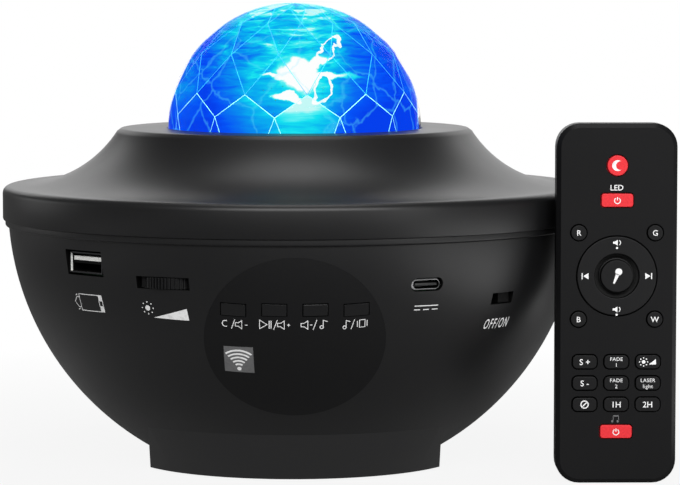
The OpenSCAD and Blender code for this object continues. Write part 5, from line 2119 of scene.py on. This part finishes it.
    def small_keys(self) -> list[Obj]:
        """Makes the nine small keys.

        Returns:
            The keys.
        """
        keys = []
        words = ("S +", "FADE\n1", "dimmer", "S -", "FADE\n2", "LASER\nlight", "off", "1H", "2H")
        for i, text in enumerate(words):
            x, z = self.middle(f"key_small_{i + 1}")
            sign = Print("key_sign", WHITE_INK)
            if text == "dimmer":
                sign.sun(x - 1.2, z, 0.5, 0.18)
                sign.fill([(x + 0.2, z - 0.7), (x + 2.2, z - 0.7), (x + 2.2, z + 0.8)])
            elif text == "off":
                sign.ring(x, z, 1.0, 0.3)
                sign.stroke([(x - 0.7, z - 0.7), (x + 0.7, z + 0.7)], 0.3)
            elif "\n" in text:
                upper, lower = text.split("\n")
                sign.words(upper, x, z + 0.8, 1.0, weight=0.0, gap=1.08)
                sign.words(lower, x, z - 0.85, 1.05, weight=0.0, gap=1.08)
            else:
                sign.words(text, x, z, 1.6)
            keys.append(self.key(f"key_small_{i + 1}", f"small_key_{i + 1}", KEY, sign,
                                 self.proud))
        return keys


# ---- Inner pieces ----


@dataclass
class InnerWorks:
    """The pieces inside the projector and the remote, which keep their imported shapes."""

    frame: dict[str, Any]
    # The coat of the LEDs starts this far under their top, in millimetres
    coat: float = 0.75

    def dress_all(self) -> int:
        """Gives each inner node its finish.

        Returns:
            The number of nodes dressed.
        """
        finishes = {
            "housing_screws": ZINC, "speaker_frame": PAINTED, "speaker_magnet": CAN,
            "speaker_cone": PULP, "main_board": BOARD, "board_components": BLACK_RESIN,
            "button_board": BOARD, "tact_switches": BLACK_RESIN, "ir_receiver": BLACK_RESIN,
            # The switch's body, deep in its window, takes painted shade
            "dimmer_pot": BLUE_RESIN, "port_boards": BOARD, "power_switch_body": PAINTED_SHADE_BLACK,
            "lamp_deck": DIFFUSER, "condenser_lens": CLEAR, "gear_motor": CAN,
            "motor_pinion": ACETAL, "ripple_disc": CLEAR, "laser_module": BRASS,
            "grating_wheel": CLEAR, "remote_board": BOARD, "key_mat": SILICONE,
            "battery_cells": CELL_JACKET, "battery_contacts": NICKEL, "nav_rocker": SILICONE}
        for node, kind in finishes.items():
            dress(self.frame["nodes"][node], kind)
        board = self.frame["nodes"]["led_board"]
        dress(board, LED_BOARD, PHOSPHOR)
        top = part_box("led_board")[1][2]
        paint(board, 1, (f for f in board.data.polygons if f.center.z > top - self.coat * MM))
        return len(finishes) + 1


# ---- The studio ----


@dataclass
class Studio:
    """Camera, floor, lamps and surroundings."""

    camera_m: tuple[float, float, float] = (0.0, -1.0, 0.14424)
    # Degrees down and to the right
    pitch: float = 4.671
    yaw: float = 0.749
    lens: float = 183.64
    # How much of the white backdrop a gloss mirrors
    gloss_share: float = 0.08
    # Distances in metres between which the floor goes over into white, and its share of white
    fade: tuple[Point, Point] = ((0.09, 0.3), (0.9, 1.0))
    # A painted pool of light: pale under the object and darker further out, where it would grey the
    # case's gloss
    painted_light_pool: tuple[Point, Point] = ((0.1, 0.26), (0.3, 0.1))
    # The surroundings' strength as light and to the eye
    level: Point = (0.1, 1.0)
    # What most lamps face
    aim: tuple[float, float, float] = (0.0, 0.0, 0.06)

    def set_camera(self) -> None:
        """Makes the camera and looks through it."""
        focus()
        bpy.ops.object.camera_add(location=self.camera_m, rotation=(
            math.radians(90 - self.pitch), 0.0, math.radians(-self.yaw)))
        camera = bpy.context.object
        camera.data.lens = self.lens
        camera.data.sensor_width = 36.0
        camera.data.clip_end = 100.0
        bpy.context.scene.camera = camera

    def seen(self, tree: Tree) -> Socket:
        """Adds the share of the white backdrop that a ray meets.

        Args:
            tree: The node tree that takes it.

        Returns:
            All of it to the eye and through glass, a little in a gloss, none as light.
        """
        rays = add_node(tree, "ShaderNodeLightPath").outputs
        gloss = maths(tree, "MULTIPLY", rays["Is Glossy Ray"], self.gloss_share)
        clear = maths(tree, "MAXIMUM", rays["Is Transmission Ray"], gloss)
        return maths(tree, "MAXIMUM", rays["Is Camera Ray"], clear)

    def set_floor(self) -> None:
        """Makes the floor, a pale painted pool of light that goes over into white with the distance.
        """
        focus()
        bpy.ops.mesh.primitive_circle_add(vertices=96, radius=30.0, fill_type="NGON")
        floor = bpy.context.object
        floor.name = "studio_floor"
        material, tree, shader, place = new_material("pale_floor")
        away = add_node(tree, "ShaderNodeVectorMath", {"operation": "LENGTH"},
                        {0: place}).outputs["Value"]
        weight = maths(tree, "MULTIPLY", ranged(tree, away, *self.fade), self.seen(tree))
        white = add_node(tree, "ShaderNodeEmission", {"Color": grey(1.0), "Strength": 1.0})
        mix = add_node(tree, "ShaderNodeMixShader",
                       links={0: weight, 1: shader.outputs[0], 2: white.outputs[0]})
        # The base colour is the painted pool of light, pale near the object
        wire(tree, shader, {"Roughness": 0.9, "Specular IOR Level": 0.0},
             {"Base Color": ranged(tree, away, *self.painted_light_pool)})
        wire(tree, tree.nodes["Material Output"], links={"Surface": mix.outputs[0]})
        floor.data.materials.append(material)

    def set_world(self) -> None:
        """Makes the surroundings: white to the eye, soft grey as light."""
        world = bpy.data.worlds.new("studio")
        bpy.context.scene.world = world
        world.use_nodes = True
        tree = world.node_tree
        level = ranged(tree, self.seen(tree), (0.0, 1.0), self.level)
        wire(tree, tree.nodes["Background"], {"Color": grey(1.0)}, {"Strength": level})

    def add_lamp(self, name: str, place: Sequence[float], target: Sequence[float],
                 size: Point, watts: float) -> None:
        """Adds a soft box.

        Args:
            name: The lamp's name.
            place: Where it stands, in metres.
            target: What it faces.
            size: Width and height of its face.
            watts: Its power.
        """
        focus()
        aim = Vector(target) - Vector(place)
        bpy.ops.object.light_add(type="AREA", location=place,
                                 rotation=aim.to_track_quat("-Z", "Y").to_euler())
        lamp = bpy.context.object
        lamp.name = name
        lamp.data.shape = "RECTANGLE"
        lamp.data.size, lamp.data.size_y = size
        lamp.data.energy = watts

    def set_lamps(self) -> None:
        """Sets up soft boxes in front, above and behind, strips, and bounce cards on the table."""
        for name, place, size, watts in (
                ("front_box", (0.1, -1.7, 1.05), (2.2, 0.9), 46.0),
                ("back_box", (0.25, 1.5, 0.3), (1.6, 0.5), 3.0),
                ("overhead_box", (0.0, 0.1, 1.25), (0.55, 0.6), 4.0),
                ("bank_behind", (0.12, 1.15, 0.72), (2.2, 0.42), 5.8),
                ("right_strip", (0.7, -0.78, 0.14), (0.34, 0.36), 1.2),
                ("left_edge_strip", (-0.9, 0.35, 0.16), (0.5, 0.3), 0.6)):
            self.add_lamp(name, place, self.aim, size, watts)
        # The cards lie on the table and face upwards
        for name, (x, y, z), size, watts in (
                ("right_card", (0.25, -0.1, 0.004), (0.2, 0.26), 0.4),
                ("left_card", (-0.29, -0.17, 0.004), (0.14, 0.24), 0.06)):
            self.add_lamp(name, (x, y, z), (x, y, 1.0), size, watts)

    def build(self) -> None:
        """Sets up the whole studio."""
        self.set_camera()
        self.set_floor()
        self.set_world()
        self.set_lamps()
        bpy.context.scene.view_settings.view_transform = "Standard"


def main() -> None:
    """Builds the scene, piece by piece."""
    logging.basicConfig(level=logging.INFO, format="%(name)s: %(message)s")
    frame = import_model()
    studio = Studio()
    studio.build()
    LOG.info("studio is set")
    bowl = Bowl()
    LOG.info("bowl: %s", bowl.build().name)
    LOG.info("cover: %s", Cover().build().name)
    LOG.info("dome: %s", Dome().build().name)
    pedestal = Pedestal()
    LOG.info("pedestal: %s and %s", pedestal.build().name, pedestal.build_ring().name)
    for piece in ControlPanel(frame, bowl).build():
        LOG.info("control panel: %s", piece.name)
    for piece in Ports(frame).build():
        LOG.info("ports: %s", piece.name)
    for piece in Remote(frame).build():
        LOG.info("remote: %s", piece.name)
    LOG.info("inner works: %d nodes dressed", InnerWorks(frame).dress_all())
    focus()


if __name__ == "__main__":
    main()
